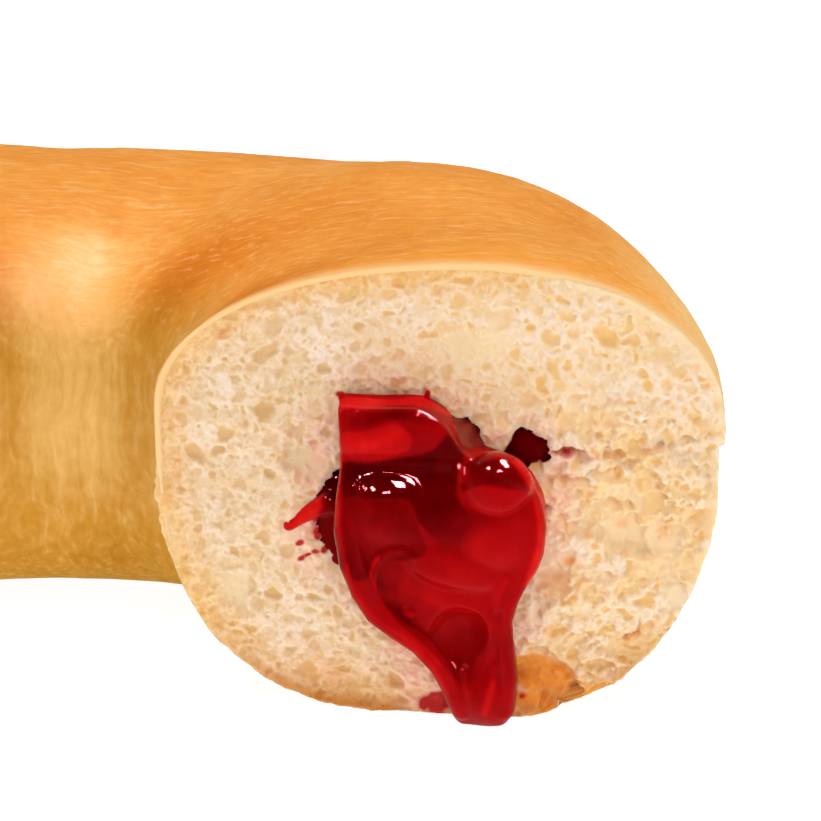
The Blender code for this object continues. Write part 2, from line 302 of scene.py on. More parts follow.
def crust_material():
    """Fried yeast dough skin: golden brown in soft patches, with fine wrinkles that keep it nearly matt."""
    values = ("brown", "golden", "fresh", "low", "cut", "worn")
    material, tree, shader, made = new_material("cooked yeast dough crust", values)
    for row in (
        ("place", "TexCoord", "Object", {}),
        # the skin's stretch marks: hair-thin wavy lines, 0.2 mm wide and 2 mm long
        ("swirl", "TexNoise", "Color", {"Scale": 1 / (4.5 * MM), "Detail": 2.0, "Vector": "place"}),
        ("bend", "VectorMath", 0, {"operation": "MULTIPLY_ADD", 0: "swirl", 1: (1.8 * MM,) * 3,
                                   2: (-0.9 * MM,) * 3}),
        ("bent", "VectorMath", 0, {"operation": "ADD", 0: "place", 1: "bend"}),
        ("lying", "Mapping", 0, {"Scale": (0.11, 1.0, 1.0), "Vector": "bent"}),
        ("upright", "Mapping", 0, {"Scale": (1.0, 1.0, 0.13), "Vector": "bent"}),
        ("lying marks", "TexNoise", "Fac", {"Scale": 1 / (0.42 * MM), "Detail": 3.0, "Roughness": 0.62,
                                            "Vector": "lying"}),
        ("upright marks", "TexNoise", "Fac", {"Scale": 1 / (0.55 * MM), "Detail": 2.0, "Roughness": 0.5,
                                              "Vector": "upright"}),
        ("marks", "Mix", 0, {"data_type": "FLOAT", 0: "golden", 2: "lying marks", 3: "upright marks"}),
        ("hair", "MapRange", 0, {"Value": "marks", "From Min": 0.57, "From Max": 0.74}),
        ("hair kept", "Math", 0, {"operation": "MULTIPLY_ADD", 0: "golden", 1: -0.75, 2: 1.0}),
        ("hair", "Math", 0, {"operation": "MULTIPLY", 0: "hair", 1: "hair kept"}),
        # how brown it is, with the painted sheen and shade: the stored level, soft patches of 7 mm and 1.3
        # mm, and the marks
        ("broad", "TexNoise", "Fac", {"Scale": 1 / (7.0 * MM), "Detail": 3.0, "Vector": "place"}),
        ("fine", "TexNoise", "Fac", {"Scale": 1 / (1.3 * MM), "Detail": 4.0, "Roughness": 0.7,
                                     "Vector": "bent"}),
        ("level", "Math", 0, {"operation": "MULTIPLY_ADD", 0: "broad", 1: 0.34, 2: "brown"}),
        ("level", "Math", 0, {"operation": "MULTIPLY_ADD", 0: "fine", 1: 0.34, 2: "level"}),
        ("level", "Math", 0, {"operation": "MULTIPLY_ADD", 0: "marks", 1: -0.42, 2: "level"}),
        ("level", "Math", 0, {"operation": "ADD", 0: "level", 1: -0.13}),
        ("orange", "ValToRGB", 0, {"Fac": "level", "stops": ORANGE_SKIN}),
        ("skin", "ValToRGB", 0, {"Fac": "level", "stops": GOLDEN_SKIN}),
        ("fresh", "Math", 0, {"operation": "MULTIPLY", 0: "fresh", 1: 0.6}),
        ("pale hair", "Math", 0, {"operation": "MULTIPLY", 0: "hair", 1: 0.40}),
        ("raised", "Math", 0, {"operation": "MULTIPLY_ADD", 0: "hair", 1: 0.7, 2: "marks"}),
        ("bump", "Bump", "Normal", {"Strength": 0.6, "Distance": 0.07 * MM, "Height": "raised"}),
    ):
        add_node(tree, made, *row)
    # colours laid over each other, each with its share
    for name, share, under, over in (
        ("skin", "golden", "orange", "skin"),
        ("skin", "fresh", "skin", "#FF9F2C"),
        ("skin", "pale hair", "skin", "#F8CE97"),
        ("edge", "low", "#F3CFA0", "#D08C44"),
        ("skin", "cut", "skin", "edge"),
        ("skin", "worn", "skin", "#FBC888"),
    ):
        add_node(tree, made, name, "Mix", 2, {"data_type": "RGBA", 0: share, 6: under, 7: over})
    set_up(tree, made, shader, {
        "Base Color": "skin", "Normal": "bump", "Roughness": 0.48, "Specular IOR Level": 0.012,
        "Subsurface Weight": 0.15, "Subsurface Radius": (1.0, 0.5, 0.25), "Subsurface Scale": 0.6 * MM})
    return material


crust = make_crust()
crust.data.materials.append(crust_material())
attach(crust, "root")
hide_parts("dough")

# ---------------------------------------------------------------------------------------------- crumb
# The cut faces. Yeast dough is a foam of rounded cells from 0.5 to 2 mm, with soft whitish walls that the
# knife opened. The jelly was pumped into it, so the crumb is torn open round a ragged hole and stained.

RASTER = 0.05                                    # mm between the values of the relief sheet
SHEET_LOW = (-23.0, -1.0)                        # its lowest offset and height
SHEET_SIZE = (910, 780)
SHEET_ACROSS = SHEET_LOW[0] + RASTER * np.arange(SHEET_SIZE[0])
SHEET_UP = SHEET_LOW[1] + RASTER * np.arange(SHEET_SIZE[1])
ACROSS, UP = np.meshgrid(SHEET_ACROSS, SHEET_UP)
WARPS = ((0.17, 0.9), (0.09, 0.35), (0.035, 0.15))   # how the cells are pulled out of shape: mm, size in mm
WALL = 0.16                                      # half of the wall that stays between two cells
CELL_SIZES = ((0.66, 110), (0.48, 340), (0.34, 900), (0.23, 2600), (0.15, 4600))   # radius, tries
MOUTH_POINTS = 420                               # round the edge of the jelly's hole
EDGE_ROUND = 124.0                               # mm round the section, nearly
WALL_DEPTHS = (0.35, 0.8, 1.4, 2.2, 3.2, 4.6, 6.5, 9.0)   # rings of the hole's wall, behind its edge
SKIRT = ((0.05, 0.35), (0.2, 1.0), (0.6, 1.4))   # rings behind the crumb's edge: inwards, behind


def sheet_noise(size, seed, stretch=1.0):
    """Soft noise on the whole sheet, with features of the given size and a unit spread."""
    rng = np.random.default_rng(seed)

    def weights(places, step):
        t = (places - places[0]) / step + 1.5
        first = np.floor(t).astype(int)
        spread = np.zeros((len(places), first.max() + 3))
        for k in range(-1, 3):
            far = np.abs(t - (first + k))
            bell = np.where(far < 1, 2 / 3 - far**2 + far**3 / 2, np.maximum(2 - far, 0) ** 3 / 6)
            spread[np.arange(len(places)), first + k] += bell
        return spread

    rows, columns = weights(SHEET_UP, size), weights(SHEET_ACROSS, size * stretch)
    noise = rows @ rng.normal(size=(rows.shape[1], columns.shape[1])) @ columns.T
    return noise / noise.std()


def layered_noise(seed, layers):
    """Noises of several strengths and sizes, added up, each with the next seed."""
    return sum(much * sheet_noise(size, seed + k) for k, (much, size) in enumerate(layers))


def blur_matrix(places, radius):
    """Matrix that blurs values at evenly spaced places over the given radius in mm."""
    bell = np.exp(-((places[:, None] - places[None]) / radius) ** 2)
    return bell / bell.sum(axis=1, keepdims=True)


def soften(sheet, radius):
    """The sheet blurred over the given radius in mm."""
    return blur_matrix(SHEET_UP, radius) @ sheet @ blur_matrix(SHEET_ACROSS, radius).T


def read_sheet(sheet, offset, height):
    """Values of the sheet between its points."""
    c = np.clip((np.asarray(offset) - SHEET_LOW[0]) / RASTER, 0, SHEET_SIZE[0] - 1.001)
    r = np.clip((np.asarray(height) - SHEET_LOW[1]) / RASTER, 0, SHEET_SIZE[1] - 1.001)
    i, j = r.astype(int), c.astype(int)
    a, b = r - i, c - j
    return ((1 - a) * ((1 - b) * sheet[i, j] + b * sheet[i, j + 1])
            + a * ((1 - b) * sheet[i + 1, j] + b * sheet[i + 1, j + 1]))


def closed_curve(corners, count):
    """Smooth closed curve through a few corners, as so many evenly spaced points."""
    p = np.asarray(corners, float)
    t = np.linspace(0, 1, 24, endpoint=False)[:, None]
    before, after, last = np.roll(p, 1, 0), np.roll(p, -1, 0), np.roll(p, -2, 0)
    runs = [(2 * b + (c - a) * t + (2 * a - 5 * b + 4 * c - d) * t**2 + (3 * b - a - 3 * c + d) * t**3) / 2
            for a, b, c, d in zip(before, p, after, last)]
    curve = np.concatenate(runs)
    curve = np.concatenate([curve, curve[:1]])
    far = np.concatenate([[0], np.cumsum(np.hypot(*np.diff(curve, axis=0).T))])
    even = np.linspace(0, far[-1], count, endpoint=False)
    return np.stack([np.interp(even, far, curve[:, k]) for k in (0, 1)], axis=1)


def inside(loop, offset, height):
    """Which points lie inside a closed loop."""
    hits = np.zeros(np.shape(offset), bool)
    for (x0, y0), (x1, y1) in zip(loop, np.roll(loop, -1, 0)):
        if y0 != y1:
            crossed = (y0 > height) != (y1 > height)
            hits ^= crossed & (offset < x0 + (height - y0) * (x1 - x0) / (y1 - y0))
    return hits


def from_skin(offset, height):
    """Depth under the skin, measured along the line to the crown centre, and that line's angle."""
    across, up = offset - CROWN_OFFSET, height - CROWN_HEIGHT
    angle = np.arctan2(up, across)
    return section_radius(angle) - np.hypot(across, up), angle


def turned(x, y, lean):
    """Coordinates along and across a direction that leans by an angle."""
    return x * math.cos(lean) + y * math.sin(lean), y * math.cos(lean) - x * math.sin(lean)


def open_cells(seed, torn):
    """Depth of the opened cells over the sheet, from 0 on the walls to about half a cell's size."""
    rng = np.random.default_rng(seed)
    warp_x, warp_y = layered_noise(seed + 1, WARPS), layered_noise(seed + 5, WARPS)
    depth, tone = np.zeros_like(ACROSS), np.zeros_like(ACROSS)
    cells = np.zeros((0, 3))
    for radius, tries in CELL_SIZES:
        for _ in range(tries):
            u, z = rng.uniform(-21.5, 21.2), rng.uniform(0.4, 36.0)
            size = radius * rng.uniform(0.75, 1.25)
            long = rng.uniform(1.0, 1.75)
            lean = rng.normal(0, 0.5)
            skin, angle = from_skin(u, z)
            below = np.clip(-np.sin(angle) * 3 - 1.6, 0, 1)
            if skin < 0.35 + 0.7 * size - 0.4 * below or (size > 0.5 and skin < 1.6):
                continue
            if size > 0.3 and rng.random() < read_sheet(torn, u, z):
                continue
            if len(cells) and (np.hypot(cells[:, 0] - u, cells[:, 1] - z)
                               < (cells[:, 2] + size) * 0.93 + WALL).any():
                continue
            cells = np.vstack([cells, (u, z, size * math.sqrt(long))])
            reach = size * long + 0.5
            i0, i1 = np.searchsorted(SHEET_UP, (z - reach, z + reach))
            j0, j1 = np.searchsorted(SHEET_ACROSS, (u - reach, u + reach))
            part = np.s_[i0:i1, j0:j1]
            x, y = ACROSS[part] - u + warp_x[part], UP[part] - z + warp_y[part]
            along, across = turned(x, y, angle + math.pi / 2 + lean)
            a, b = along / (size * long), across / size
            q = np.clip(np.sqrt(a * a + b * b), 0, 1)
            strong = rng.uniform(0.15, 1.0) ** 1.15
            bowl = (1 - q**2.2) ** 0.9
            depth[part] = np.maximum(depth[part], 0.58 * size * (0.35 + 0.65 * strong) * bowl)
            tone[part] = np.maximum(tone[part], (0.25 + 0.75 * strong) * np.clip(bowl * 1.6, 0, 1))
    return depth, tone


# Hollows and lumps torn in the right-hand face: offset, height, half-width, half-height, lean in degrees,
# depth (minus stands out), smoothness from 0 to 1
TORN_PLACES = (
    (12.2, 15.7, 2.9, 1.7, -25, 0.8, 1.0),
    (16.6, 14.9, 2.2, 1.4, -20, 0.6, 1.0),
    (17.4, 20.3, 3.0, 1.3, -32, -0.95, 0.0),
    (10.4, 18.6, 3.0, 0.9, 12, -0.6, 0.0),
    (9.5, 20.2, 1.6, 0.7, 10, -0.5, 0.0),
    (14.0, 18.0, 1.8, 0.8, -30, 0.45, 0.7),
    (13.2, 21.5, 1.6, 0.45, -4, 0.75, 0.3),
    (15.6, 22.1, 1.2, 0.36, 14, 0.5, 0.3),
    (18.6, 22.9, 1.6, 0.30, 30, 0.25, 0.3),
    (9.8, 21.7, 1.5, 0.42, -6, 1.0, 0.3),
    (13.5, 24.6, 2.6, 1.1, 6, -0.4, 0.2),
    (8.5, 24.2, 1.6, 0.7, -14, -0.35, 0.0),
    (4.4, 23.4, 0.9, 0.8, 0, -0.5, 0.0),
    (8.2, 12.6, 1.9, 1.2, 20, 0.3, 0.8),
    (12.0, 10.6, 3.0, 0.9, 14, -0.45, 0.0),
    (17.6, 11.2, 0.9, 2.2, 12, 0.5, 0.7),
    (15.0, 7.0, 1.1, 0.5, 45, 0.7, 0.6),
    (8.2, 3.1, 2.9, 1.3, -26, 1.2, 0.9),
    (-12.9, 33.2, 2.3, 0.5, 18, 0.4, 0.9),
    (-9.6, 20.2, 1.2, 1.9, 30, 0.7, 0.9),
    (-10.6, 23.8, 3.3, 0.28, -6, -0.35, 0.0),
    (2.4, 30.0, 2.4, 1.4, 10, 0.2, 0.8),
    (-15.5, 9.5, 1.6, 1.0, 40, 0.3, 0.7),
)
# Ragged mouth of the jelly's hole in each face
RIGHT_MOUTH = (
    (-9.25, 16.5), (-9.05, 17.3), (-8.7, 18.1), (-8.5, 18.8), (-8.0, 19.3), (-7.4, 19.8), (-6.9, 20.7),
    (-6.7, 22.6), (-6.7, 24.4), (-6.0, 25.2), (-4.0, 25.3), (-1.5, 25.2), (0.2, 24.4), (1.3, 24.1),
    (2.0, 24.15), (2.6, 23.9), (3.0, 23.3), (3.15, 22.2), (3.6, 21.6), (4.4, 21.5), (5.05, 21.8),
    (5.35, 22.7), (5.6, 23.3), (6.1, 23.55), (6.9, 23.4), (7.3, 23.0), (7.95, 22.8), (8.25, 22.0),
    (8.15, 21.2), (7.8, 20.8), (7.3, 20.95), (6.7, 20.2), (6.6, 17.5), (5.6, 14.8), (3.0, 13.2),
    (-1.0, 12.6), (-4.8, 12.2), (-6.6, 11.8), (-7.3, 12.2), (-7.95, 12.95), (-8.6, 13.9), (-9.0, 14.9),
)
LEFT_MOUTH = (
    (-8.0, 18.4), (-7.6, 21.2), (-5.8, 24.0), (-3.2, 25.6), (0.2, 25.2), (3.0, 25.5), (5.2, 24.0),
    (7.0, 21.8), (7.3, 18.8), (6.4, 16.2), (4.4, 14.3), (1.2, 13.2), (-2.4, 13.2), (-5.4, 14.3),
    (-7.2, 16.0),
)
# Where jelly tinted the crumb pink: offset, height, half-width, half-height, lean, strength
BLUSH = (
    (-3.6, 26.9, 3.6, 1.1, 0, 0.5), (-2.6, 28.2, 2.6, 1.6, 0, 0.25), (1.6, 26.0, 2.0, 1.2, -30, 0.4),
    (-8.5, 21.8, 1.3, 3.0, -8, 0.75), (-9.6, 24.0, 1.6, 1.6, 0, 0.25), (-9.6, 18.8, 1.6, 1.2, 30, 0.7),
    (-10.0, 15.4, 2.2, 1.3, 32, 1.0), (-9.2, 12.6, 1.6, 1.5, 20, 0.6), (-7.0, 10.6, 1.5, 1.5, 40, 0.35),
    (4.4, 23.2, 1.3, 1.1, 0, 0.5), (7.4, 24.1, 1.8, 0.8, -12, 0.45), (9.9, 21.7, 1.5, 0.5, -5, 1.0),
    (9.0, 19.0, 1.4, 2.4, 0, 0.65), (8.8, 15.4, 1.2, 2.4, -8, 0.35), (7.3, 11.4, 1.6, 1.6, -20, 0.35),
    (6.9, 7.6, 1.3, 2.2, 0, 0.35), (6.8, 2.0, 0.9, 1.6, 0, 0.6), (-1.9, 5.2, 1.9, 1.6, 35, 1.3),
    (-0.8, 2.6, 1.9, 2.0, 20, 1.4), (0.0, 0.7, 2.4, 0.9, 0, 1.0), (-4.4, 8.0, 1.3, 0.9, 35, 0.35),
)
# Spots of jelly, and places that the fat or the jelly turned orange: the same
RED_SPOTS = (
    (-10.45, 13.85, 0.36, 0.24, 10, 1.0), (-10.3, 12.6, 0.34, 0.2, 35, 0.9),
    (-9.8, 12.9, 0.4, 0.12, 20, 0.8),
    (-9.2, 13.2, 0.34, 0.2, 0, 0.9), (-8.6, 13.3, 0.3, 0.3, 0, 1.0), (-9.1, 14.3, 0.22, 0.22, 0, 0.8),
    (-7.6, 12.5, 0.5, 0.25, -40, 0.8), (-0.9, 26.3, 0.3, 0.5, 20, 1.0), (-5.9, 26.1, 0.9, 0.25, 0, 0.25),
    (-2.9, 26.15, 1.6, 0.25, 5, 0.3), (-7.3, 25.9, 0.4, 0.25, 0, 0.8), (-7.25, 22.8, 0.28, 1.6, 0, 0.6),
    (9.4, 21.75, 1.1, 0.26, -5, 0.7), (6.5, 1.7, 0.35, 0.3, 0, 0.7), (0.3, 0.8, 1.5, 0.9, 10, 1.6),
    (-1.6, 4.3, 0.5, 0.5, 0, 0.35), (8.3, 20.2, 0.3, 0.25, 0, 0.4), (-8.9, 16.1, 0.7, 1.9, 0, 0.5),
)
ORANGE_SPOTS = (
    (7.8, 3.3, 2.9, 1.3, -24, 1.5), (7.2, 1.5, 2.6, 0.8, 4, 1.1), (11.5, 1.9, 2.2, 0.7, 14, 1.1),
    (9.9, 12.95, 0.5, 0.36, 20, 0.75), (13.7, 15.7, 0.5, 0.4, 0, 0.45), (16.9, 15.4, 0.7, 1.1, 0, 0.35),
    (13.1, 21.6, 1.2, 0.4, -4, 0.45), (15.8, 22.2, 0.9, 0.3, 14, 0.4), (14.9, 7.0, 0.9, 0.35, 45, 0.5),
    (11.6, 24.3, 0.35, 0.3, 0, 0.45), (12.6, 24.2, 0.5, 0.3, 0, 0.4), (-15.8, 30.8, 1.2, 0.3, 40, 0.4),
    (-20.4, 24.2, 0.5, 0.8, 0, 0.35), (-8.2, 3.4, 2.4, 1.3, -20, 0.3), (-2.9, 7.3, 0.9, 0.5, 20, 0.4),
    (8.6, 11.0, 1.2, 0.8, 0, 0.3),
)


def painted(places, wobble):
    """Strength over the sheet of a list of soft spots."""
    total = np.zeros_like(ACROSS)
    for offset, height, half_width, half_height, lean, strength in places:
        along, across = turned(ACROSS - offset, UP - height, math.radians(lean))
        a, b = along / half_width, across / half_height
        total = np.maximum(total, strength * np.exp(-((a * a + b * b) ** 1.3) + wobble))
    return np.clip(total, 0, 1)


def ragged_mouth(corners, rng):
    """The edge of the jelly's hole, with small tears, and the middle of the hole."""
    loop = closed_curve(corners, MOUTH_POINTS)
    rough = 0.16 * rng.normal(size=MOUTH_POINTS)
    rough = (rough + np.roll(rough, 1) + np.roll(rough, 2)) / 2
    centre = loop.mean(axis=0)
    return loop + (loop - centre) / np.hypot(*(loop - centre).T)[:, None] * rough[:, None], centre


def torn_relief(places, torn, islands, seed):
    """Broad unevenness and torn places, as depth behind the cut, and how smooth they are."""
    smooth = np.zeros_like(ACROSS)
    form = layered_noise(seed + 11, ((0.16, 4.5), (0.10, 1.9)))
    form -= torn * 0.42 * np.tanh(islands * 1.6)
    edge_wobble = layered_noise(seed + 14, ((0.22, 0.7), (0.12, 0.3)))
    pull_u = layered_noise(seed + 51, ((0.30, 1.3), (0.14, 0.5), (0.07, 0.22)))
    pull_z = layered_noise(seed + 54, ((0.26, 1.3), (0.14, 0.5), (0.07, 0.22)))
    for u, z, half_width, half_height, lean, depth, smoothness in places:
        along, across = turned(ACROSS - u + pull_u, UP - z + pull_z, math.radians(lean))
        a, b = along / half_width, across / half_height
        q = np.sqrt(a * a + b * b) + edge_wobble * 0.8
        share = np.clip((1.25 - q) / 0.5, 0, 1)
        share = share * share * (3 - 2 * share)
        form += depth * share
        smooth = np.maximum(smooth, smoothness * share)
    return form, smooth


def face_sheets(side, hole, places, stains, seed):
    """Everything the face reads from the sheet: its depth behind the cut, and the guides for its colours."""
    skin_depth, skin_angle = from_skin(ACROSS, UP)
    torn = np.clip((ACROSS - 6.0) / 3, 0, 1) * np.clip((27 - UP) / 2, 0, 1) * (0.62 if side > 0 else 0.0)
    islands = sheet_noise(1.5, seed + 13, 1.5)
    for much, size, step in ((0.7, 0.7, 18), (0.4, 0.32, 19), (0.25, 0.16, 21)):
        islands += much * sheet_noise(size, seed + step)
    form, smooth = torn_relief(places, torn, islands, seed)
    closed = np.clip(torn + smooth, 0, 1)
    cells, tone = (sheet * (1 - 0.85 * smooth) for sheet in open_cells(seed + 20, closed))
    walls = np.clip(1 - cells / 0.16, 0, 1)
    grain = layered_noise(seed + 16, ((0.045, 0.16), (0.05, 0.34)))
    relief = form + cells + grain * (0.35 + 0.65 * walls) * (1 - 0.75 * smooth)
    relief += 0.5 * soften(hole, 0.6) ** 1.5 * np.clip((26.5 - UP) / 4, 0.3, 1)
    relief -= relief[(skin_depth > 1) & (hole < 0.5)].min() * 0.2
    calm = np.clip(skin_depth / 1.2 + np.clip(-np.sin(skin_angle) * 3 - 1.6, 0, 1), 0, 1)
    blush, red, orange = stains
    fray = layered_noise(seed + 32, ((0.30, 0.8), (0.30, 0.35)))
    near_hole = np.clip(soften(hole, 0.8) * 1.3, 0, 1) * np.clip((26.5 - UP) / 4, 0.35, 1)
    return {
        "relief": np.clip(relief, -0.55, 1.6) * (0.25 + 0.75 * calm),
        "pore": tone,
        "red": np.maximum(painted(red, fray), np.clip(soften(hole, 0.35) * 1.6 - 0.35, 0, 1)),
        "blush": np.maximum(painted(blush, fray), 0.7 * near_hole),
        "orange": painted(orange, 0.4 * fray),
        "island": 0.5 + 0.5 * np.tanh(islands * 1.8),
        "torn": np.clip(torn * 1.6, 0, 1),
        "patch": 0.5 + 0.5 * np.tanh(sheet_noise(2.6, seed + 31)),
        "smooth": smooth,
    }


def crumb_edge(angles, side, seed):
    """How far inside the skin the crumb's edge lies, and how ragged and how bare it is, at each angle."""
    middle_height = np.clip(1 - np.abs(np.sin(angles) + 0.33) * 4, 0, 1)
    hole_side = np.clip(-np.cos(angles) * 1.6 - 0.55, 0, 1) * middle_height
    ring = np.stack([20 * np.cos(angles), 20 * np.sin(angles), 0 * angles], -1)
    wobble = lattice_noise(ring, 0.8, seed)
    wobble += 0.8 * lattice_noise(ring, 0.3, seed)
    bare = bare_edge(angles)
    inset = 0.26 * (1 - hole_side) * (1 - bare) - 0.04 * bare + 0.05 * wobble
    inset -= hole_side * (0.20 + 0.35 * wobble)
    if side > 0:
        inset += torn_edge(angles)
    return inset, hole_side, bare


def fill_face(angles, inset, mouth_loop, hole, pitch, rng):
    """Triangles between the crumb's edge and the hole's: a jittered grid, its points and its faces."""
    us = np.arange(-22, 21.8, pitch)
    zs = np.arange(0.0, 37, pitch * 0.866)
    grid_u, grid_z = np.meshgrid(us, zs)
    grid_u = grid_u + pitch / 2 * (np.arange(len(zs)) % 2)[:, None]
    grid_u = (grid_u + rng.uniform(-0.22, 0.22, grid_u.shape) * pitch).ravel()
    grid_z = (grid_z + rng.uniform(-0.22, 0.22, grid_z.shape) * pitch).ravel()
    depth, angle = from_skin(grid_u, grid_z)
    local = np.interp(angle % math.tau, angles, inset, period=math.tau)
    away = read_sheet(soften(hole, 0.12), grid_u, grid_z)
    keep = (depth > local + pitch * 0.6) & (away < 0.06) & (grid_z > 0.25)
    outline = np.stack(section_point(angles, inset), axis=-1)
    flat = np.concatenate([outline, mouth_loop, np.stack([grid_u[keep], grid_z[keep]], axis=-1)])
    count = len(angles)
    loops = [(i, (i + 1) % count) for i in range(count)]
    loops += [(count + i, count + (i + 1) % MOUTH_POINTS) for i in range(MOUTH_POINTS)]
    result = delaunay_2d_cdt([Vector(p) for p in flat.tolist()], loops, [], 0, 1e-6)
    flat = np.array([tuple(v) for v in result[0]])
    faces = np.array(result[2])
    # what lies outside the edge or in the hole goes
    middle = flat[faces].mean(axis=1)
    depth, angle = from_skin(middle[:, 0], middle[:, 1])
    out = depth < np.interp(angle % math.tau, angles, inset, period=math.tau) - 0.01
    in_hole = read_sheet(hole, middle[:, 0], middle[:, 1])
    on_loop = (faces < count + MOUTH_POINTS).all(axis=1)
    faces = faces[~((out | (in_hole > 0.5)) & (on_loop | (in_hole > 0.9)))]
    return flat, faces


def mouth_wall(side, mouth_loop, centre, first, seed):
    """Rings of the hole's torn wall, running in along the ring from the depth of its edge."""
    rings = []
    for deep in WALL_DEPTHS:
        turn = deep / RING_RADIUS if side > 0 else math.pi - deep / RING_RADIUS
        knots = np.concatenate([mouth_loop, np.full((MOUTH_POINTS, 1), deep)], axis=1)
        bumps = 0.30 * lattice_noise(knots, 0.9, seed + 40) + 0.16 * lattice_noise(knots, 0.4, seed + 41)
        pull = 1 + 0.02 * min(deep, 3.0)
        spot = centre + (mouth_loop - centre) * pull
        spot = spot + (mouth_loop - centre) / np.hypot(*(mouth_loop - centre).T)[:, None] * bumps[:, None]
        rings.append(on_ring(spot[:, 0], spot[:, 1], turn, np.maximum(first, 0) * math.exp(-deep / 2)))
    return rings


def joined_rows(first, start, count, rows, outwards):
    """Quads from a loop of existing points through rows of new ones that begin at a number."""
    ring = np.arange(count)
    loops = [first + ring] + [start + count * k + ring for k in range(rows)]
    if outwards:
        return [np.stack([b, np.roll(b, -1), np.roll(a, -1), a], axis=1) for a, b in zip(loops, loops[1:])]
    return [np.stack([a, np.roll(a, -1), np.roll(b, -1), b], axis=1) for a, b in zip(loops, loops[1:])]


def make_cut_face(name, side, mouth, places, stains, seed, pitch):
    """One cut face: a fine sheet of crumb with the jelly's hole in it, and the hole's wall behind it."""
    rng = np.random.default_rng(seed)
    end = 0.0 if side > 0 else math.pi
    mouth_loop, centre = ragged_mouth(mouth, rng)
    hole = inside(mouth_loop, ACROSS, UP).astype(float)
    sheets = face_sheets(side, hole, places, stains, seed)
    count = int(round(EDGE_ROUND / pitch))
    angles = math.tau * np.arange(count) / count
    inset, hole_side, bare = crumb_edge(angles, side, seed)
    flat, faces = fill_face(angles, inset, mouth_loop, hole, pitch, rng)

    # the crumb stands a little over the crust where its edge is ragged or bare
    u, z = flat.T
    behind = 0.08 + read_sheet(sheets.pop("relief"), u, z)
    at_edge, edge_angle = from_skin(u, z)
    ragged, plain = (np.interp(edge_angle % math.tau, angles, share, period=math.tau)
                     for share in (hole_side, bare))
    over = np.maximum(ragged * np.clip(1 - at_edge / 1.5, 0, 1),
                      plain * np.clip(1 - at_edge / 1.1, 0, 1) * 0.7)
    behind -= over * 0.28
    points = on_ring(u, z, end, behind)
    values = {key: read_sheet(sheet, u, z) for key, sheet in sheets.items()}
    values["warm"] = np.clip((u + 4) / 14 + np.clip((z - 26) / 12, 0, 1), 0, 1)
    values["under_skin"] = at_edge
    values["up"] = (z - CROWN_HEIGHT) / TO_BOTTOM
    to_outside = np.maximum(np.cos(edge_angle), 0)
    values["toasted"] = np.clip(1.25 - 1.9 * to_outside, 0, 1) * np.clip((z - 3) / 5, 0.3, 1)
    values["wet"] = np.zeros(len(u))

    # the hole's wall, and a skirt behind the outline that gives the crumb's edge its thickness
    wall = mouth_wall(side, mouth_loop, centre, behind[count:count + MOUTH_POINTS], seed)
    quads = joined_rows(count, len(points), MOUTH_POINTS, len(wall), False)
    points = np.concatenate([points, *wall])
    skirt = [on_ring(*section_point(angles, inset + inward), end, back) for inward, back in SKIRT]
    quads += joined_rows(0, len(points), count, len(skirt), True)
    points = np.concatenate([points, *skirt])
    # the hole's wall: stained red and pink by the jelly, and painted dark with the shade inside the hole
    in_wall = {"red": 1.0, "blush": 1.0, "wet": 1.0, "patch": 0.5, "under_skin": 9.0}
    faces = faces.tolist() + [quad for block in quads for quad in block.tolist()]
    piece = make_piece(name, points, faces if side > 0 else [face[::-1] for face in faces])
    for key, value in values.items():
        wall_values = np.full(MOUTH_POINTS * len(wall), in_wall.get(key, 0.0))
        give_values(piece, key, np.concatenate([value, wall_values, np.tile(value[:count], len(skirt))]))
    return piece


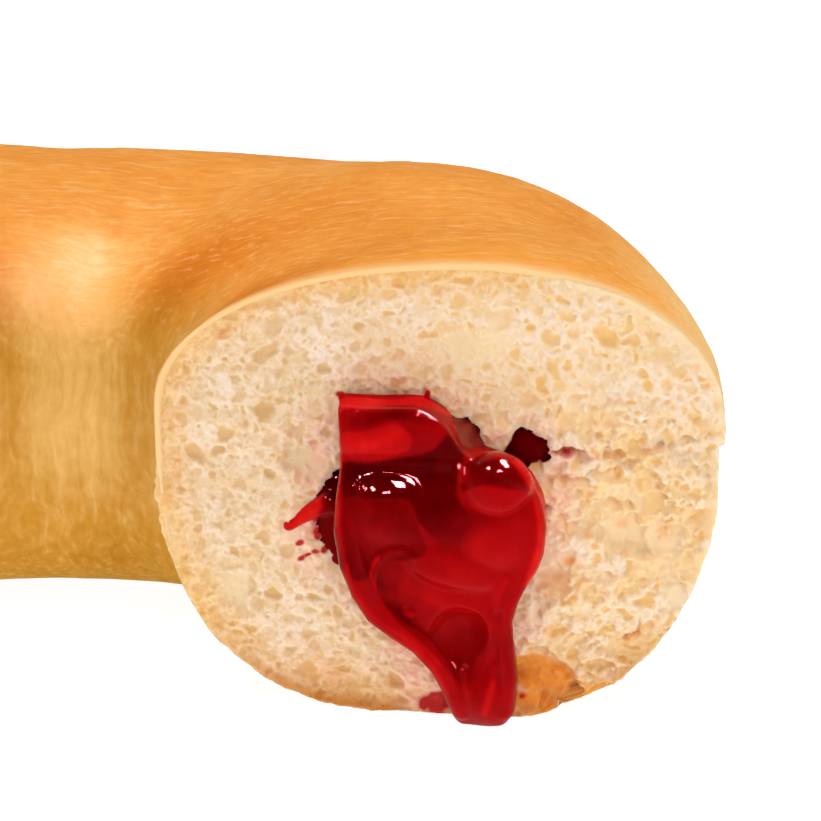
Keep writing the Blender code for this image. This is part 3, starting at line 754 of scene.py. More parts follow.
def crumb_material():
    """Soft yeast crumb: whitish walls round clearer, yellower film, and light that sinks a little into it."""
    values = ("pore", "red", "blush", "orange", "island", "torn", "patch", "smooth", "warm", "under_skin",
              "up", "toasted", "wet")
    material, tree, shader, made = new_material("open yeast crumb", values)
    for row in (
        ("place", "TexCoord", "Object", {}),
        # froth: the finest cells, 0.3 to 0.9 mm, and their walls, drawn a little thicker so that they show
        ("swirl", "TexNoise", "Color", {"Scale": 1 / (0.8 * MM), "Detail": 3.0, "Vector": "place"}),
        ("bend", "VectorMath", 0, {"operation": "MULTIPLY_ADD", 0: "swirl", 1: (0.7 * MM,) * 3,
                                   2: (-0.35 * MM,) * 3}),
        ("bent", "VectorMath", 0, {"operation": "ADD", 0: "place", 1: "bend"}),
        ("wide", "TexVoronoi", "Distance", {"feature": "DISTANCE_TO_EDGE", "Scale": 1 / (0.95 * MM),
                                            "Vector": "bent"}),
        ("fine", "TexVoronoi", "Distance", {"feature": "DISTANCE_TO_EDGE", "Scale": 1 / (0.45 * MM),
                                            "Vector": "bent"}),
        ("ragged", "TexNoise", "Fac", {"Scale": 1 / (1.1 * MM), "Detail": 6.0, "Roughness": 0.72,
                                       "Vector": "bent"}),
        ("shift", "MapRange", 0, {"Value": "ragged", "From Min": 0.3, "From Max": 0.7, "To Min": -0.45,
                                  "To Max": 0.45}),
        ("shore", "Math", 0, {"operation": "ADD", 0: "island", 1: "shift"}),
    ):
        add_node(tree, made, *row)
    # shares, each read from one value: where it starts and ends, and what it gives there
    for name, source, start, end, at_start, at_end in (
        ("wide froth", "wide", 0.03, 0.20, 0.0, 0.55),
        ("fine froth", "fine", 0.03, 0.24, 0.0, 0.45),
        ("froth kept", "ragged", 0.36, 0.62, 1.0, 0.35),
        ("torn off", "shore", 0.6, 0.42, 0.0, 1.0),
        ("open side", "ragged", 0.55, 0.44, 0.0, 0.8),
        ("not smooth", "smooth", 0.0, 1.0, 1.0, 0.3),
        ("smooth share", "smooth", 0.0, 1.0, 0.0, 0.6),
        ("pore share", "pore", 0.0, 1.0, 0.0, 0.85),
        ("blush share", "blush", 0.0, 1.0, 0.0, 0.85),
        ("red share", "red", 0.15, 0.75, 0.0, 0.95),
        ("toast share", "under_skin", 3.4, 0.2, 0.0, 0.85),
        ("base share", "under_skin", 5.0, 0.3, 0.0, 0.8),
        ("base low", "up", -0.62, -0.95, 0.0, 1.0),
        ("under share", "under_skin", 1.3, 0.2, 0.0, 1.0),
        ("under low", "up", -0.80, -0.95, 0.0, 1.0),
        ("under kept", "ragged", 0.35, 0.6, 0.25, 1.0),
        ("rim share", "under_skin", 0.7, 0.1, 0.0, 0.6),
        ("rim high", "up", -0.7, 0.2, 0.0, 1.0),
    ):
        add_node(tree, made, name, "MapRange", 0, {"Value": source, "From Min": start, "From Max": end,
                                                   "To Min": at_start, "To Max": at_end})
    # joined two by two: walls are whitish, and what lies lower is a yellower, clearer film
    for name, operation, first, second in (
        ("low", "ADD", "wide froth", "fine froth"),
        ("low", "MULTIPLY", "low", "froth kept"),
        ("torn off", "MULTIPLY", "torn", "torn off"),
        ("low", "MAXIMUM", "low", "torn off"),
        ("low", "MAXIMUM", "low", "open side"),
        ("low", "MULTIPLY", "low", "not smooth"),
        ("low share", "MULTIPLY", "low", 0.85),
        ("lowest", "MAXIMUM", "low", "pore"),
        ("toast share", "MULTIPLY", "toast share", "toasted"),
        ("base share", "MULTIPLY", "base share", "base low"),
        ("under share", "MULTIPLY", "under share", "under low"),
        ("under share", "MULTIPLY", "under share", "under kept"),
        ("rim share", "MULTIPLY", "rim share", "rim high"),
        ("low depth", "MULTIPLY", "low", 0.8),
        ("ragged depth", "MULTIPLY", "ragged", 0.2),
        ("depth", "ADD", "low depth", "ragged depth"),
    ):
        settings = {"operation": operation, "use_clamp": True, 0: first, 1: second}
        add_node(tree, made, name, "Math", 0, settings)
    # colours, then the same laid over each other from the walls to the hole's wall, soaked with jelly and
    # painted dark as shade
    for name, share, under, over in (
        ("wall", "patch", "#F2DECB", "#F0D7B8"),
        ("film", "warm", "#E4C18E", "#EECB94"),
        # in the deeper cells the film is yellower and also darker, partly painted shade; the blush's pink
        # darkens there the same way
        ("deep", "warm", "#D9AE70", "#E9B96C"),
        ("pressed", "warm", "#E6CA9A", "#EFD19C"),
        ("toast", "low", "#F4C683", "#E3A550"),
        ("base", "lowest", "#E4AE6C", "#C4812F"),
        ("pink", "pore", "#F8CBB2", "#EEAE8C"),
        ("fat", "patch", "#EBA04E", "#D67A20"),
        ("crumb", "low share", "wall", "film"),
        ("crumb", "pore share", "crumb", "deep"),
        ("crumb", "smooth share", "crumb", "pressed"),
        ("crumb", "toast share", "crumb", "toast"),
        ("crumb", "base share", "crumb", "base"),
        ("crumb", "under share", "crumb", "#B9702A"),
        ("crumb", "rim share", "crumb", "#F3D4A6"),
        ("crumb", "blush share", "crumb", "pink"),
        ("crumb", "orange", "crumb", "fat"),
        ("crumb", "red share", "crumb", "#B8121A"),
        # painted shade: the jelly-soaked wall of the hole is made near black, as it lies in shade
        ("crumb", "wet", "crumb", "#5A0206"),
    ):
        add_node(tree, made, name, "Mix", 2, {"data_type": "RGBA", 0: share, 6: under, 7: over})
    bump = {"Strength": 0.45, "Distance": 0.10 * MM, "invert": True, "Height": "depth"}
    add_node(tree, made, "bump", "Bump", "Normal", bump)
    set_up(tree, made, shader, {
        "Base Color": "crumb", "Normal": "bump", "Roughness": 0.7, "Specular IOR Level": 0.0,
        "Subsurface Weight": 0.5, "Subsurface Radius": (1.0, 0.62, 0.38), "Subsurface Scale": 0.8 * MM})
    return material


crumb = crumb_material()
right_stains = (BLUSH, RED_SPOTS, ORANGE_SPOTS)
right_face = make_cut_face("crumb_right", 1, RIGHT_MOUTH, TORN_PLACES, right_stains, 100, 0.135)
left_face = make_cut_face("crumb_left", -1, LEFT_MOUTH, (), ((), (), ()), 300, 0.19)
for face in (right_face, left_face):
    face.data.materials.append(crumb)
    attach(face, "root")
    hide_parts("dough")

# ---------------------------------------------------------------------------------------------- jelly
# The filling: red fruit jelly set with pectin, pumped into the ring. It is clear, sticky and heavy. It
# slumped out of the right-hand face in one thick tongue, whose edges rolled round as it slid down.

JELLY_STEP = 0.14                                # mm between the points where its depth is worked out
JELLY_BACK = -0.35                               # the tongue clings this far into the crumb
SEEN_DROP = 0.41                                 # how much lower 1 mm nearer looks, from 22 degrees above
JELLY_SOFT = 9                                   # rounds of softening, each out and back, to keep its size
CORE_MIDDLE = (-0.4, 19.7)                       # the filling in the channel: its middle
CORE_ROUND = 72                                  # vertices round it and along it
CORE_ALONG = 110
# Sheet that slid down the right-hand face: height, hole-side edge, outer edge, front
SHEET = (
    (26.1, -7.20, -1.00, 2.5),
    (25.6, -7.18, 0.05, 2.95),
    (25.0, -7.15, 0.75, 3.2),
    (24.3, -7.12, 1.2, 3.35),
    (23.5, -7.12, 1.65, 3.3),
    (23.0, -7.12, 1.95, 3.2),
    (22.5, -7.12, 2.9, 3.1),
    (22.0, -7.12, 4.6, 3.2),
    (21.3, -7.15, 6.0, 3.0),
    (20.6, -7.15, 6.9, 3.3),
    (19.8, -7.20, 7.4, 3.8),
    (19.0, -7.25, 7.8, 4.3),
    (17.5, -7.30, 8.1, 4.6),
    (15.5, -7.25, 8.0, 4.3),
    (13.5, -6.85, 7.4, 3.9),
    (11.5, -6.1, 6.3, 3.5),
    (10.0, -5.1, 5.7, 3.2),
    (8.8, -3.9, 5.5, 3.0),
    (7.6, -2.5, 5.6, 2.9),
    (6.2, -0.9, 5.85, 2.8),
    (4.4, 0.2, 6.05, 2.7),
    (2.4, 0.9, 6.0, 2.45),
    (1.0, 1.2, 5.7, 2.2),
    (-0.1, 1.7, 5.2, 1.9),
)
# Lumps: offset, height and front distance of the middle, three half-sizes, lean, softness of the seam
LUMPS = (
    (4.55, 20.6, 3.2, 2.65, 2.45, 2.0, 0, 0.12),
    (4.6, 16.4, 2.4, 3.2, 2.8, 2.45, 0, 0.6),
    (0.9, 14.5, 2.3, 5.2, 2.7, 2.45, -18, 0.2),
    (2.7, 9.6, 1.7, 2.6, 4.0, 2.3, 0, 0.5),
    (3.7, 3.0, 1.2, 2.4, 3.0, 2.1, 0, 0.5),
    (-3.5, 18.3, 2.4, 3.9, 3.0, 2.75, -8, 0.4),
    (-7.5, 15.2, -1.35, 2.1, 4.0, 1.25, 0, 0.3),
    (7.0, 21.9, -1.9, 2.1, 1.8, 1.2, 0, 0.3),
    (-0.85, 26.2, 0.15, 0.22, 0.5, 0.25, -15, 0.08),
    (-7.05, 25.95, 0.6, 0.25, 0.4, 0.4, 15, 0.08),
    (-5.5, 19.9, 3.9, 0.4, 0.8, 0.6, 10, 0.15),
    (1.9, 21.3, 3.1, 0.5, 0.9, 0.7, 20, 0.15),
)
# Rolls: points of offset, height, front distance and radius; then the softness of the seam
ROLLS = (
    (((-6.50, 22.0, 2.7, 0.5), (-6.50, 19.4, 3.8, 0.8), (-6.45, 17.0, 4.15, 0.95),
      (-6.05, 14.2, 4.1, 1.0), (-5.30, 12.0, 3.9, 1.0), (-4.35, 10.2, 3.7, 0.95),
      (-2.80, 8.75, 3.45, 0.9), (-1.10, 7.4, 3.25, 0.85), (0.30, 5.6, 3.0, 0.8), (1.20, 3.7, 2.6, 0.8),
      (2.00, 1.4, 1.9, 0.8)), 0.25),
    (((2.3, 22.2, 2.1, 0.3), (3.5, 22.3, 2.0, 0.42), (4.8, 22.15, 2.1, 0.5), (5.95, 21.5, 2.3, 0.55),
      (6.7, 20.4, 2.7, 0.62), (7.15, 19.1, 3.2, 0.74), (7.35, 17.5, 3.7, 0.85), (7.15, 15.6, 3.7, 0.85),
      (6.5, 13.7, 3.5, 0.8), (5.6, 11.4, 3.2, 0.7), (5.1, 9.4, 3.0, 0.65), (5.35, 6.85, 2.9, 0.65),
      (5.5, 4.25, 2.6, 0.7), (5.2, 1.6, 1.9, 0.75)), 0.4),
    (((-5.9, 23.4, 2.25, 1.28), (-3.2, 23.6, 2.4, 1.36), (-0.9, 24.0, 2.2, 1.05), (0.8, 24.3, 2.0, 0.6)),
      0.25),
    (((-5.6, 25.85, 2.55, 0.22), (-3.4, 25.9, 2.6, 0.24), (-1.6, 26.0, 2.55, 0.22)), 0.12),
    (((-4.45, 12.2, 4.0, 0.30), (-4.50, 13.5, 4.25, 0.34), (-4.15, 14.8, 4.35, 0.36),
      (-3.40, 15.5, 4.35, 0.36), (-2.40, 15.6, 4.3, 0.34), (-1.2, 14.9, 4.3, 0.3)), 0.15),
    (((5.2, 13.4, 3.7, 0.36), (4.65, 11.9, 3.5, 0.36), (4.45, 10.4, 3.4, 0.3)), 0.2),
    (((2.1, 5.0, 2.8, 0.36), (2.5, 3.6, 2.9, 0.36), (3.0, 1.9, 2.4, 0.3)), 0.2),
    (((4.5, 5.4, 2.8, 0.36), (4.1, 3.8, 2.9, 0.36), (3.4, 1.9, 2.4, 0.3)), 0.2),
    (((-8.2, 17.1, -0.55, 0.95), (-9.3, 16.5, -0.38, 0.68), (-10.3, 15.9, -0.28, 0.55),
      (-11.15, 15.35, -0.22, 0.46)), 0.2),
)
# Pool between the rolls, which lie over its edges
POOL = (
    (1.5, 7.5, 4.15, 2.5, 3.2, 2.6, -22, 0.6),
)
# Drops that stand in the hollows
DROPS = (
    (-2.0, 10.1, 3.40, 0.60, 0.36, 0.48, -30, 0.25),
    (4.3, 9.75, 2.95, 0.24, 0.24, 0.36, 0, 0.08),
)
# Hollows pressed or drained into its front, as lumps and as rolls
DENTS = (
    (1.2, 20.2, 6.0, 1.9, 2.9, 1.7, 0, 0.5),
    (-3.2, 13.35, 5.5, 0.75, 1.5, 1.45, -12, 0.2),
)
GROOVES = (
    (((-3.2, 11.9, 4.9, 1.0), (-1.9, 10.7, 4.6, 1.0), (-0.6, 9.2, 4.3, 0.95), (0.9, 7.5, 4.1, 0.9),
      (2.0, 6.0, 3.9, 0.8)), 0.3),
    (((4.75, 10.2, 4.0, 0.55), (4.7, 7.8, 3.9, 0.55)), 0.25),
)
# Short bulge on the left-hand face, in the same way
LEFT_SHEET = (
    (25.4, -4.0, 1.6, 0.5),
    (24.2, -6.3, 4.4, 1.4),
    (21.0, -7.6, 6.6, 2.1),
    (17.5, -7.0, 6.9, 2.5),
    (14.6, -5.2, 5.6, 2.3),
    (12.4, -3.4, 4.0, 1.8),
    (11.0, -1.6, 2.2, 1.2),
)
LEFT_LUMPS = (
    (-2.6, 20.0, 1.2, 3.4, 2.6, 2.0, 10, 0.4),
    (2.8, 16.2, 1.2, 2.8, 2.3, 2.1, 0, 0.3),
)


def smooth_steps(stations, height, column):
    """Smooth curve through one column of the stations, read at many heights."""
    table = np.array(stations)[::-1]
    x, y = table[:, 0], table[:, column]
    slope = np.gradient(y, x)
    i = np.clip(np.searchsorted(x, height) - 1, 0, len(x) - 2)
    step = x[i + 1] - x[i]
    t = (height - x[i]) / step
    return ((2 * t**3 - 3 * t**2 + 1) * y[i] + (t**3 - 2 * t**2 + t) * step * slope[i]
            + (3 * t**2 - 2 * t**3) * y[i + 1] + (t**3 - t**2) * step * slope[i + 1])


def sheet_depth(at, stations):
    """Distance outside the slid sheet, negative inside it."""
    u, z, p = at
    low, high = stations[-1][0], stations[0][0]
    row = np.clip(z, low, high)
    inner, outer, front = (smooth_steps(stations, row, column) for column in (1, 2, 3))
    bend = np.interp(row, (low, low + 3, high - 5, high - 1.5), (0.6, 0.9, 0.9, 0.25))
    a = np.abs(u - (inner + outer) / 2) - (outer - inner) / 2 + bend
    b = np.abs(p - (front + JELLY_BACK) / 2) - (front - JELLY_BACK) / 2 + bend
    c = np.maximum(z - high, low - z) + bend
    outside = np.sqrt(np.maximum(a, 0) ** 2 + np.maximum(b, 0) ** 2 + np.maximum(c, 0) ** 2)
    return outside + np.minimum(np.maximum(np.maximum(a, b), c), 0) - bend


def lump_depth(at, offset, height, front, wide, tall, thick, lean):
    """Distance outside a leaning ellipsoid, negative inside it."""
    a, b = turned(at[0] - offset, at[1] - height, math.radians(lean))
    p = at[2] - front
    near = np.sqrt((a / wide) ** 2 + (b / tall) ** 2 + (p / thick) ** 2)
    steep = np.sqrt((a / wide**2) ** 2 + (b / tall**2) ** 2 + (p / thick**2) ** 2)
    return near * (near - 1) / np.maximum(steep, 1e-6)


def roll_depth(at, way):
    """Distance outside a round roll of changing radius, negative inside it."""
    nearest = None
    for start, end in zip(np.array(way), np.array(way)[1:]):
        along = end[:3] - start[:3]
        t = sum((axis - s) * d for axis, s, d in zip(at, start, along)) / (along @ along)
        t = np.clip(t, 0, 1)
        far = np.sqrt(sum((axis - s - t * d) ** 2 for axis, s, d in zip(at, start, along)))
        far = far - start[3] - t * (end[3] - start[3])
        nearest = far if nearest is None else np.minimum(nearest, far)
    return nearest


def core_depth(at):
    """Distance outside the jelly that fills the channel, near a cut."""
    u, z, p = at
    wide, tall, square = 8.3, 6.4, 2.3
    across, up = (u - CORE_MIDDLE[0]) / wide, (z - CORE_MIDDLE[1]) / tall
    round_it = (np.abs(across) ** square + np.abs(up) ** square) ** (1 / square)
    face = p + 1.7 + 0.25 * np.sin(u * 1.3 + 1) * np.sin(z * 1.1)
    return np.maximum((round_it - 1) * tall, face)


def melt(shape, other, soft):
    """Two depths as one, with a seam rounded over the given distance."""
    share = np.clip(0.5 + (other - shape) / (2 * soft), 0, 1)
    return other + (shape - other) * share - soft * share * (1 - share)


def skin_of(depth, low, step):
    """Closed skin where a depth passes zero: a point in each crossed cell, a quad at each crossed edge."""
    filled = depth < 0
    shape = np.array(depth.shape) - 1
    corners = [np.array([c & 1, c >> 1 & 1, c >> 2 & 1]) for c in range(8)]
    rows, columns, layers = shape
    count = sum(filled[i:rows + i, j:columns + j, k:layers + k].astype(np.int8) for i, j, k in corners)
    cells = np.argwhere((count > 0) & (count < 8))
    numbers = np.full(shape, -1)
    numbers[tuple(cells.T)] = np.arange(len(cells))
    values = [depth[tuple((cells + c).T)] for c in corners]
    total, hits = np.zeros(cells.shape), np.zeros(len(cells))
    for axis in range(3):
        for c in range(8):
            if not c >> axis & 1:
                start, end = values[c], values[c | 1 << axis]
                crossed = (start < 0) != (end < 0)
                place = np.repeat(corners[c][None].astype(float), len(cells), 0)
                place[:, axis] += start / np.where(crossed, start - end, 1)
                total += place * crossed[:, None]
                hits += crossed
    points = low + (cells + total / hits[:, None]) * step
    quads = []
    for axis in range(3):
        side_b, side_c = np.eye(3, dtype=int)[(axis + 1) % 3], np.eye(3, dtype=int)[(axis + 2) % 3]
        spots = np.argwhere(np.diff(filled, axis=axis))
        around = ((1, 1), (0, 1), (0, 0), (1, 0))
        loop = [numbers[tuple((spots - s * side_b - t * side_c).T)] for s, t in around]
        loop = np.stack(loop, axis=1)
        turned = ~filled[tuple(spots.T)]
        loop[turned] = loop[turned][:, ::-1]
        quads.append(loop)
    return points, np.concatenate(quads)


def softened(points, quads, rounds):
    """Points moved towards the middle of their neighbours."""
    a, b = quads.ravel(), np.roll(quads, -1, axis=1).ravel()
    a, b = np.concatenate([a, b]), np.concatenate([b, a])
    count = np.bincount(a, minlength=len(points))[:, None]
    for step in (0.5, -0.53) * rounds:
        middle = np.stack([np.bincount(a, points[b, k], len(points)) for k in range(3)], axis=1) / count
        points = points + step * (middle - points)
    return points


def make_spill(name, side, stations, forms, low, high):
    """Jelly that hangs on a cut face, and the first of what fills the hole behind it, as one skin.

    The forms are added to the sheet or pressed into it in their order: way, rule and list of each."""
    low, high = np.array(low), np.array(high)
    axes = [np.arange(a, b, JELLY_STEP, dtype=np.float32) for a, b in zip(low, high)]
    at = axes[0][:, None, None], axes[1][None, :, None], axes[2][None, None, :]
    depth = melt(sheet_depth(at, stations), core_depth(at), 0.3)
    for way, rule, shapes in forms:
        for *shape, soft in shapes:
            depth = way * melt(way * depth, rule(at, *shape), soft)
    depth = np.maximum(depth, low[2] + 1.5 * JELLY_STEP - at[2])
    points, quads = skin_of(depth, low, JELLY_STEP)
    points = softened(points, quads, JELLY_SOFT)
    for axis in range(3):
        points[:, axis] += 0.08 * lattice_noise(points + axis * 7, 2.4, 71 + axis)
    u, z, p = points.T
    place = on_ring(u, np.maximum(z, 0.02), 0.0 if side > 0 else math.pi, -p)
    piece = make_piece(name, place, (quads if side > 0 else quads[:, ::-1]).tolist())
    return piece, points


# How bright the light comes through, as areas seen from the front: corners, brightness and softness in mm.
# Later areas lie over earlier ones.
TONGUE_TONES = (
    (((-7.5, 26.8), (-0.6, 26.8), (1.2, 24.7), (2.2, 22.4), (6, 22.3), (8.4, 18), (8.3, 14), (6.4, 10.6),
      (6.3, 2), (5.5, -1), (1.2, -1), (-0.6, 3.4), (-5, 7), (-7.5, 13)), 0.55, 0.1),
    (((-7.3, 25.9), (-3.4, 25.8), (-1.5, 26.2), (-0.9, 26.0), (0.1, 25.4), (1.1, 24.6), (0.1, 24.8),
      (-0.6, 25.1), (-1.7, 25.35), (-3.2, 25.25), (-4.7, 25.05), (-6.9, 24.8)), 0.82, 0.08),
    (((-7.0, 24.75), (-4.7, 25.0), (-3.2, 25.2), (-1.7, 25.3), (-0.5, 25.05), (0.4, 24.4), (1.1, 23.5),
      (0.6, 23.3), (-0.2, 23.4), (-1.0, 23.6), (-1.9, 23.95), (-2.7, 24.1), (-3.4, 23.9), (-5.1, 23.3),
      (-6.9, 23.0)), 0.46, 0.10),
    (((-6.0, 24.4), (-3.0, 24.8), (-0.6, 24.6), (0.4, 23.9), (-0.8, 23.8), (-3.2, 24.15), (-6.0, 23.4)),
      0.30, 0.25),
    (((-7.0, 22.95), (-5.1, 23.25), (-3.4, 23.85), (-2.75, 24.0), (-1.9, 23.2), (-1.6, 22.5),
      (-1.9, 21.9), (-2.8, 21.3), (-4.7, 20.8), (-6.8, 20.8)), 0.70, 0.12),
    (((-6.4, 22.7), (-4.6, 22.7), (-2.9, 23.5), (-2.3, 23.0), (-3.6, 22.2), (-5.2, 21.5), (-6.5, 21.6)),
      0.84, 0.35),
    (((-2.75, 24.05), (-1.8, 24.0), (-1.0, 23.7), (0.0, 23.4), (0.8, 23.3), (0.6, 22.9), (-0.2, 22.1),
      (-1.4, 21.55), (-1.9, 21.75), (-1.6, 22.5), (-1.95, 23.2)), 0.44, 0.09),
    (((0.9, 23.2), (1.5, 22.4), (2.1, 21.5), (1.8, 20.3), (1.6, 18.6), (2.0, 17.6), (2.6, 16.6),
      (1.8, 15.2), (0.2, 15.0), (-1.0, 15.9), (-1.6, 17.2), (-2.1, 17.85), (-4.3, 17.85), (-6.4, 17.6),
      (-6.8, 18.4), (-6.85, 20.6), (-4.7, 20.7), (-2.8, 21.2), (-1.3, 21.5), (-0.1, 22.0)), 0.15, 0.16),
    (((-6.7, 17.7), (-4.3, 17.8), (-2.2, 17.8), (-1.6, 17.1), (-1.1, 15.7), (-0.6, 14.1), (-1.0, 13.3),
      (-2.9, 12.8), (-4.0, 12.1), (-4.7, 11.5), (-6.0, 11.4), (-6.6, 13.9)), 0.30, 0.12),
    (((0.6, 16.5), (2.6, 17.2), (4.5, 16.2), (5.0, 15.4), (3.9, 14.4), (2.2, 14.0), (0.3, 14.2),
      (-0.6, 15.4)), 0.28, 0.6),
    (((1.9, 19.6), (2.1, 20.6), (2.8, 21.3), (3.8, 21.6), (5.0, 21.5), (5.9, 21.0), (6.6, 20.1),
      (7.0, 19.0), (5.7, 18.9), (4.6, 19.1), (3.7, 19.2), (2.8, 18.9), (2.1, 18.5)), 0.33, 0.10),
    (((2.3, 20.6), (3.0, 21.2), (4.6, 21.1), (6.0, 20.2), (6.4, 19.4), (4.6, 19.5), (2.8, 19.3)),
      0.26, 0.3),
    (((2.1, 18.5), (2.8, 18.9), (3.7, 19.2), (4.6, 19.1), (5.7, 18.9), (6.9, 18.8), (7.1, 18.0),
      (6.6, 17.3), (5.9, 16.8), (4.8, 16.6), (3.8, 16.9), (2.8, 17.5)), 0.60, 0.08),
    (((2.8, 15.8), (5.0, 16.3), (7.2, 16.4), (7.5, 14.6), (6.6, 12.0), (5.2, 11.0), (3.4, 11.6),
      (2.2, 13.6)), 0.58, 0.7),
    (((2.2, 21.4), (3.6, 22.1), (4.8, 22.3), (6.3, 21.6), (7.5, 20.0), (8.5, 17.8), (8.6, 14.4),
      (7.4, 11.6), (6.7, 11.0), (7.0, 12.7), (7.5, 14.3), (7.55, 16.4), (7.25, 18.0), (6.65, 19.6),
      (5.7, 20.9), (4.4, 21.6), (3.2, 21.6)), 0.83, 0.12),
    (((2.2, 21.6), (3.6, 22.2), (4.8, 22.4), (6.0, 21.95), (5.6, 21.1), (4.4, 21.65), (3.2, 21.65)),
      0.52, 0.15),
    (((-7.5, 25.6), (-7.5, 20.8), (-7.8, 18.4), (-7.6, 15.5), (-7.1, 13.2), (-6.9, 13.6), (-7.0, 15.2),
      (-7.05, 17.6), (-6.95, 19.4), (-6.85, 21.4), (-7.0, 23.4), (-7.1, 25.2)), 0.74, 0.12),
    (((-4.4, 11.8), (-3.8, 12.8), (-3.0, 12.9), (-2.3, 12.4), (-1.9, 11.2), (-2.2, 10.3), (-3.2, 10.1),
      (-4.0, 10.3), (-4.5, 10.9)), 0.38, 0.25),
    (((-2.5, 10.5), (-1.7, 12.6), (0.2, 12.6), (2.6, 11.9), (4.6, 11.2), (5.6, 10.4), (4.5, 9.4),
      (3.8, 8.9), (2.1, 8.9), (0.6, 9.1), (-1.3, 10.2)), 0.58, 0.35),
    (((-4.2, 9.8), (-3.5, 10.15), (-2.5, 10.2), (-1.4, 10.0), (0.6, 8.9), (2.1, 8.7), (3.7, 8.7),
      (4.0, 6.4), (3.5, 4.0), (2.9, 3.05), (1.7, 3.1), (0.1, 5.1), (-1.8, 7.1), (-3.7, 8.7)), 0.44, 0.06),
    (((0.9, 4.8), (2.0, 5.0), (3.5, 4.6), (3.5, 3.7), (2.8, 2.9), (1.8, 2.95)), 0.34, 0.3),
    (((-3.7, 9.4), (-2.6, 9.6), (-1.9, 8.2), (-0.4, 6.6), (-1.7, 7.3), (-3.4, 8.7)), 0.33, 0.25),
    (((3.9, 8.9), (4.7, 9.4), (5.5, 9.3), (5.75, 8.1), (5.8, 6.0), (5.1, 5.4), (4.3, 6.2), (4.0, 7.4)),
      0.45, 0.15),
    (((2.9, 2.7), (3.6, 3.9), (4.2, 5.1), (5.8, 5.2), (6.0, 2.2), (5.7, 0.4), (5.0, -0.6), (3.3, -1.1),
      (2.6, 0.6)), 0.46, 0.3),
    (((3.5, 0.6), (3.9, 2.2), (4.25, 3.2), (4.6, 3.1), (4.3, 1.3), (3.8, 0.2)), 0.70, 0.15),
    (((2.2, 0.6), (2.1, 1.6), (2.5, 2.0), (2.8, 1.2), (2.8, 0.2)), 0.56, 0.15),
    (((-4.2, 13.3), (-4.85, 12.4), (-4.75, 11.3), (-4.35, 10.1), (-3.95, 9.0), (-3.0, 7.6), (-1.7, 6.45),
      (-0.45, 5.3), (0.45, 4.2), (0.65, 4.35), (-0.25, 5.55), (-1.5, 6.7), (-2.7, 7.85), (-3.65, 9.15),
      (-4.05, 10.2), (-4.45, 11.3), (-4.5, 12.3), (-3.95, 13.15)), 0.62, 0.07),
    (((-6.55, 12.4), (-6.35, 11.2), (-5.8, 9.75), (-4.85, 8.35), (-3.75, 7.4), (-2.5, 6.6), (-1.5, 5.6),
      (-0.45, 4.35), (0.4, 2.9), (1.0, 1.4), (1.25, 1.5), (0.65, 3.1), (-0.2, 4.65), (-1.25, 5.95),
      (-2.35, 6.95), (-3.6, 7.75), (-4.6, 8.7), (-5.5, 9.95), (-6.1, 11.35), (-6.3, 12.45)), 0.68, 0.07),
    # painted shade: the jelly lies dark in the hollows of the crumb left of the tongue
    (((-9.3, 16.2), (-8.4, 17.9), (-7.5, 18.0), (-7.2, 15.1), (-6.8, 12.0), (-8.1, 13.4), (-9.0, 14.7)),
      0.26, 0.1),
    (((-8.5, 18.3), (-8.2, 19.3), (-7.3, 20.0), (-7.4, 17.9), (-8.0, 17.6)), 0.06, 0.1),
    (((-12.0, 15.2), (-10.4, 16.7), (-9.1, 17.7), (-8.6, 17.3), (-8.9, 16.2), (-9.6, 15.6), (-10.6, 15.1),
      (-11.6, 14.5)), 0.86, 0.2),
)


def tone_sheet(tones):
    """Brightness of the jelly over the sheet of a cut face."""
    level = np.full_like(ACROSS, 0.5)
    for corners, tone, soft in tones:
        loop = closed_curve(corners, 160)
        low, high = loop.min(axis=0) - 3 * soft, loop.max(axis=0) + 3 * soft
        rows = slice(*np.searchsorted(SHEET_UP, (low[1], high[1])))
        columns = slice(*np.searchsorted(SHEET_ACROSS, (low[0], high[0])))
        area = inside(loop, ACROSS[rows, columns], UP[rows, columns]).astype(float)
        area = blur_matrix(SHEET_UP[rows], soft) @ area @ blur_matrix(SHEET_ACROSS[columns], soft).T
        level[rows, columns] += (tone - level[rows, columns]) * area
    return level + 0.035 * sheet_noise(1.6, 91) + 0.02 * sheet_noise(0.6, 92)


def light_through(piece, points, stations, tones):
    """Stores how bright the jelly is, with painted shade where it lies back in the hole, how dull, and how
    milky, with a painted pale edge, at each vertex.
    """
    u, z, p = points.T
    level = read_sheet(tone_sheet(tones), u, z - SEEN_DROP * np.maximum(p, 0))
    row = np.clip(z, stations[-1][0], stations[0][0])
    inner, outer, front = (smooth_steps(stations, row, column) for column in (1, 2, 3))
    rim = np.abs(np.minimum(u - inner, outer - u))
    # painted shade: jelly lying back inside the crumb's hole is made darker, more so on the right
    deep = np.clip((-0.15 - p) / 0.4, 0, 1)
    level += (np.minimum(level, np.where(u > 3, 0.15, 0.22)) - level) * deep
    # painted edge light: a thin pale band along the tongue's edges
    milky = 0.30 * np.exp(-((rim / 0.18) ** 2)) * np.clip((p - 0.6) / 0.8, 0, 1)
    give_values(piece, "light", np.clip(level, 0, 1))
    on_top = np.clip((z - 25.5) / 0.3, 0, 1) * np.clip((2.5 - p) / 0.3, 0, 1)
    at_side = 0.9 * np.exp(-((rim / 0.3) ** 2)) * np.clip((front - 0.3 - p) / 0.4, 0, 1)
    give_values(piece, "dull", np.maximum(on_top, at_side))
    give_values(piece, "milky", np.clip(milky, 0, 1) * (1 - deep))


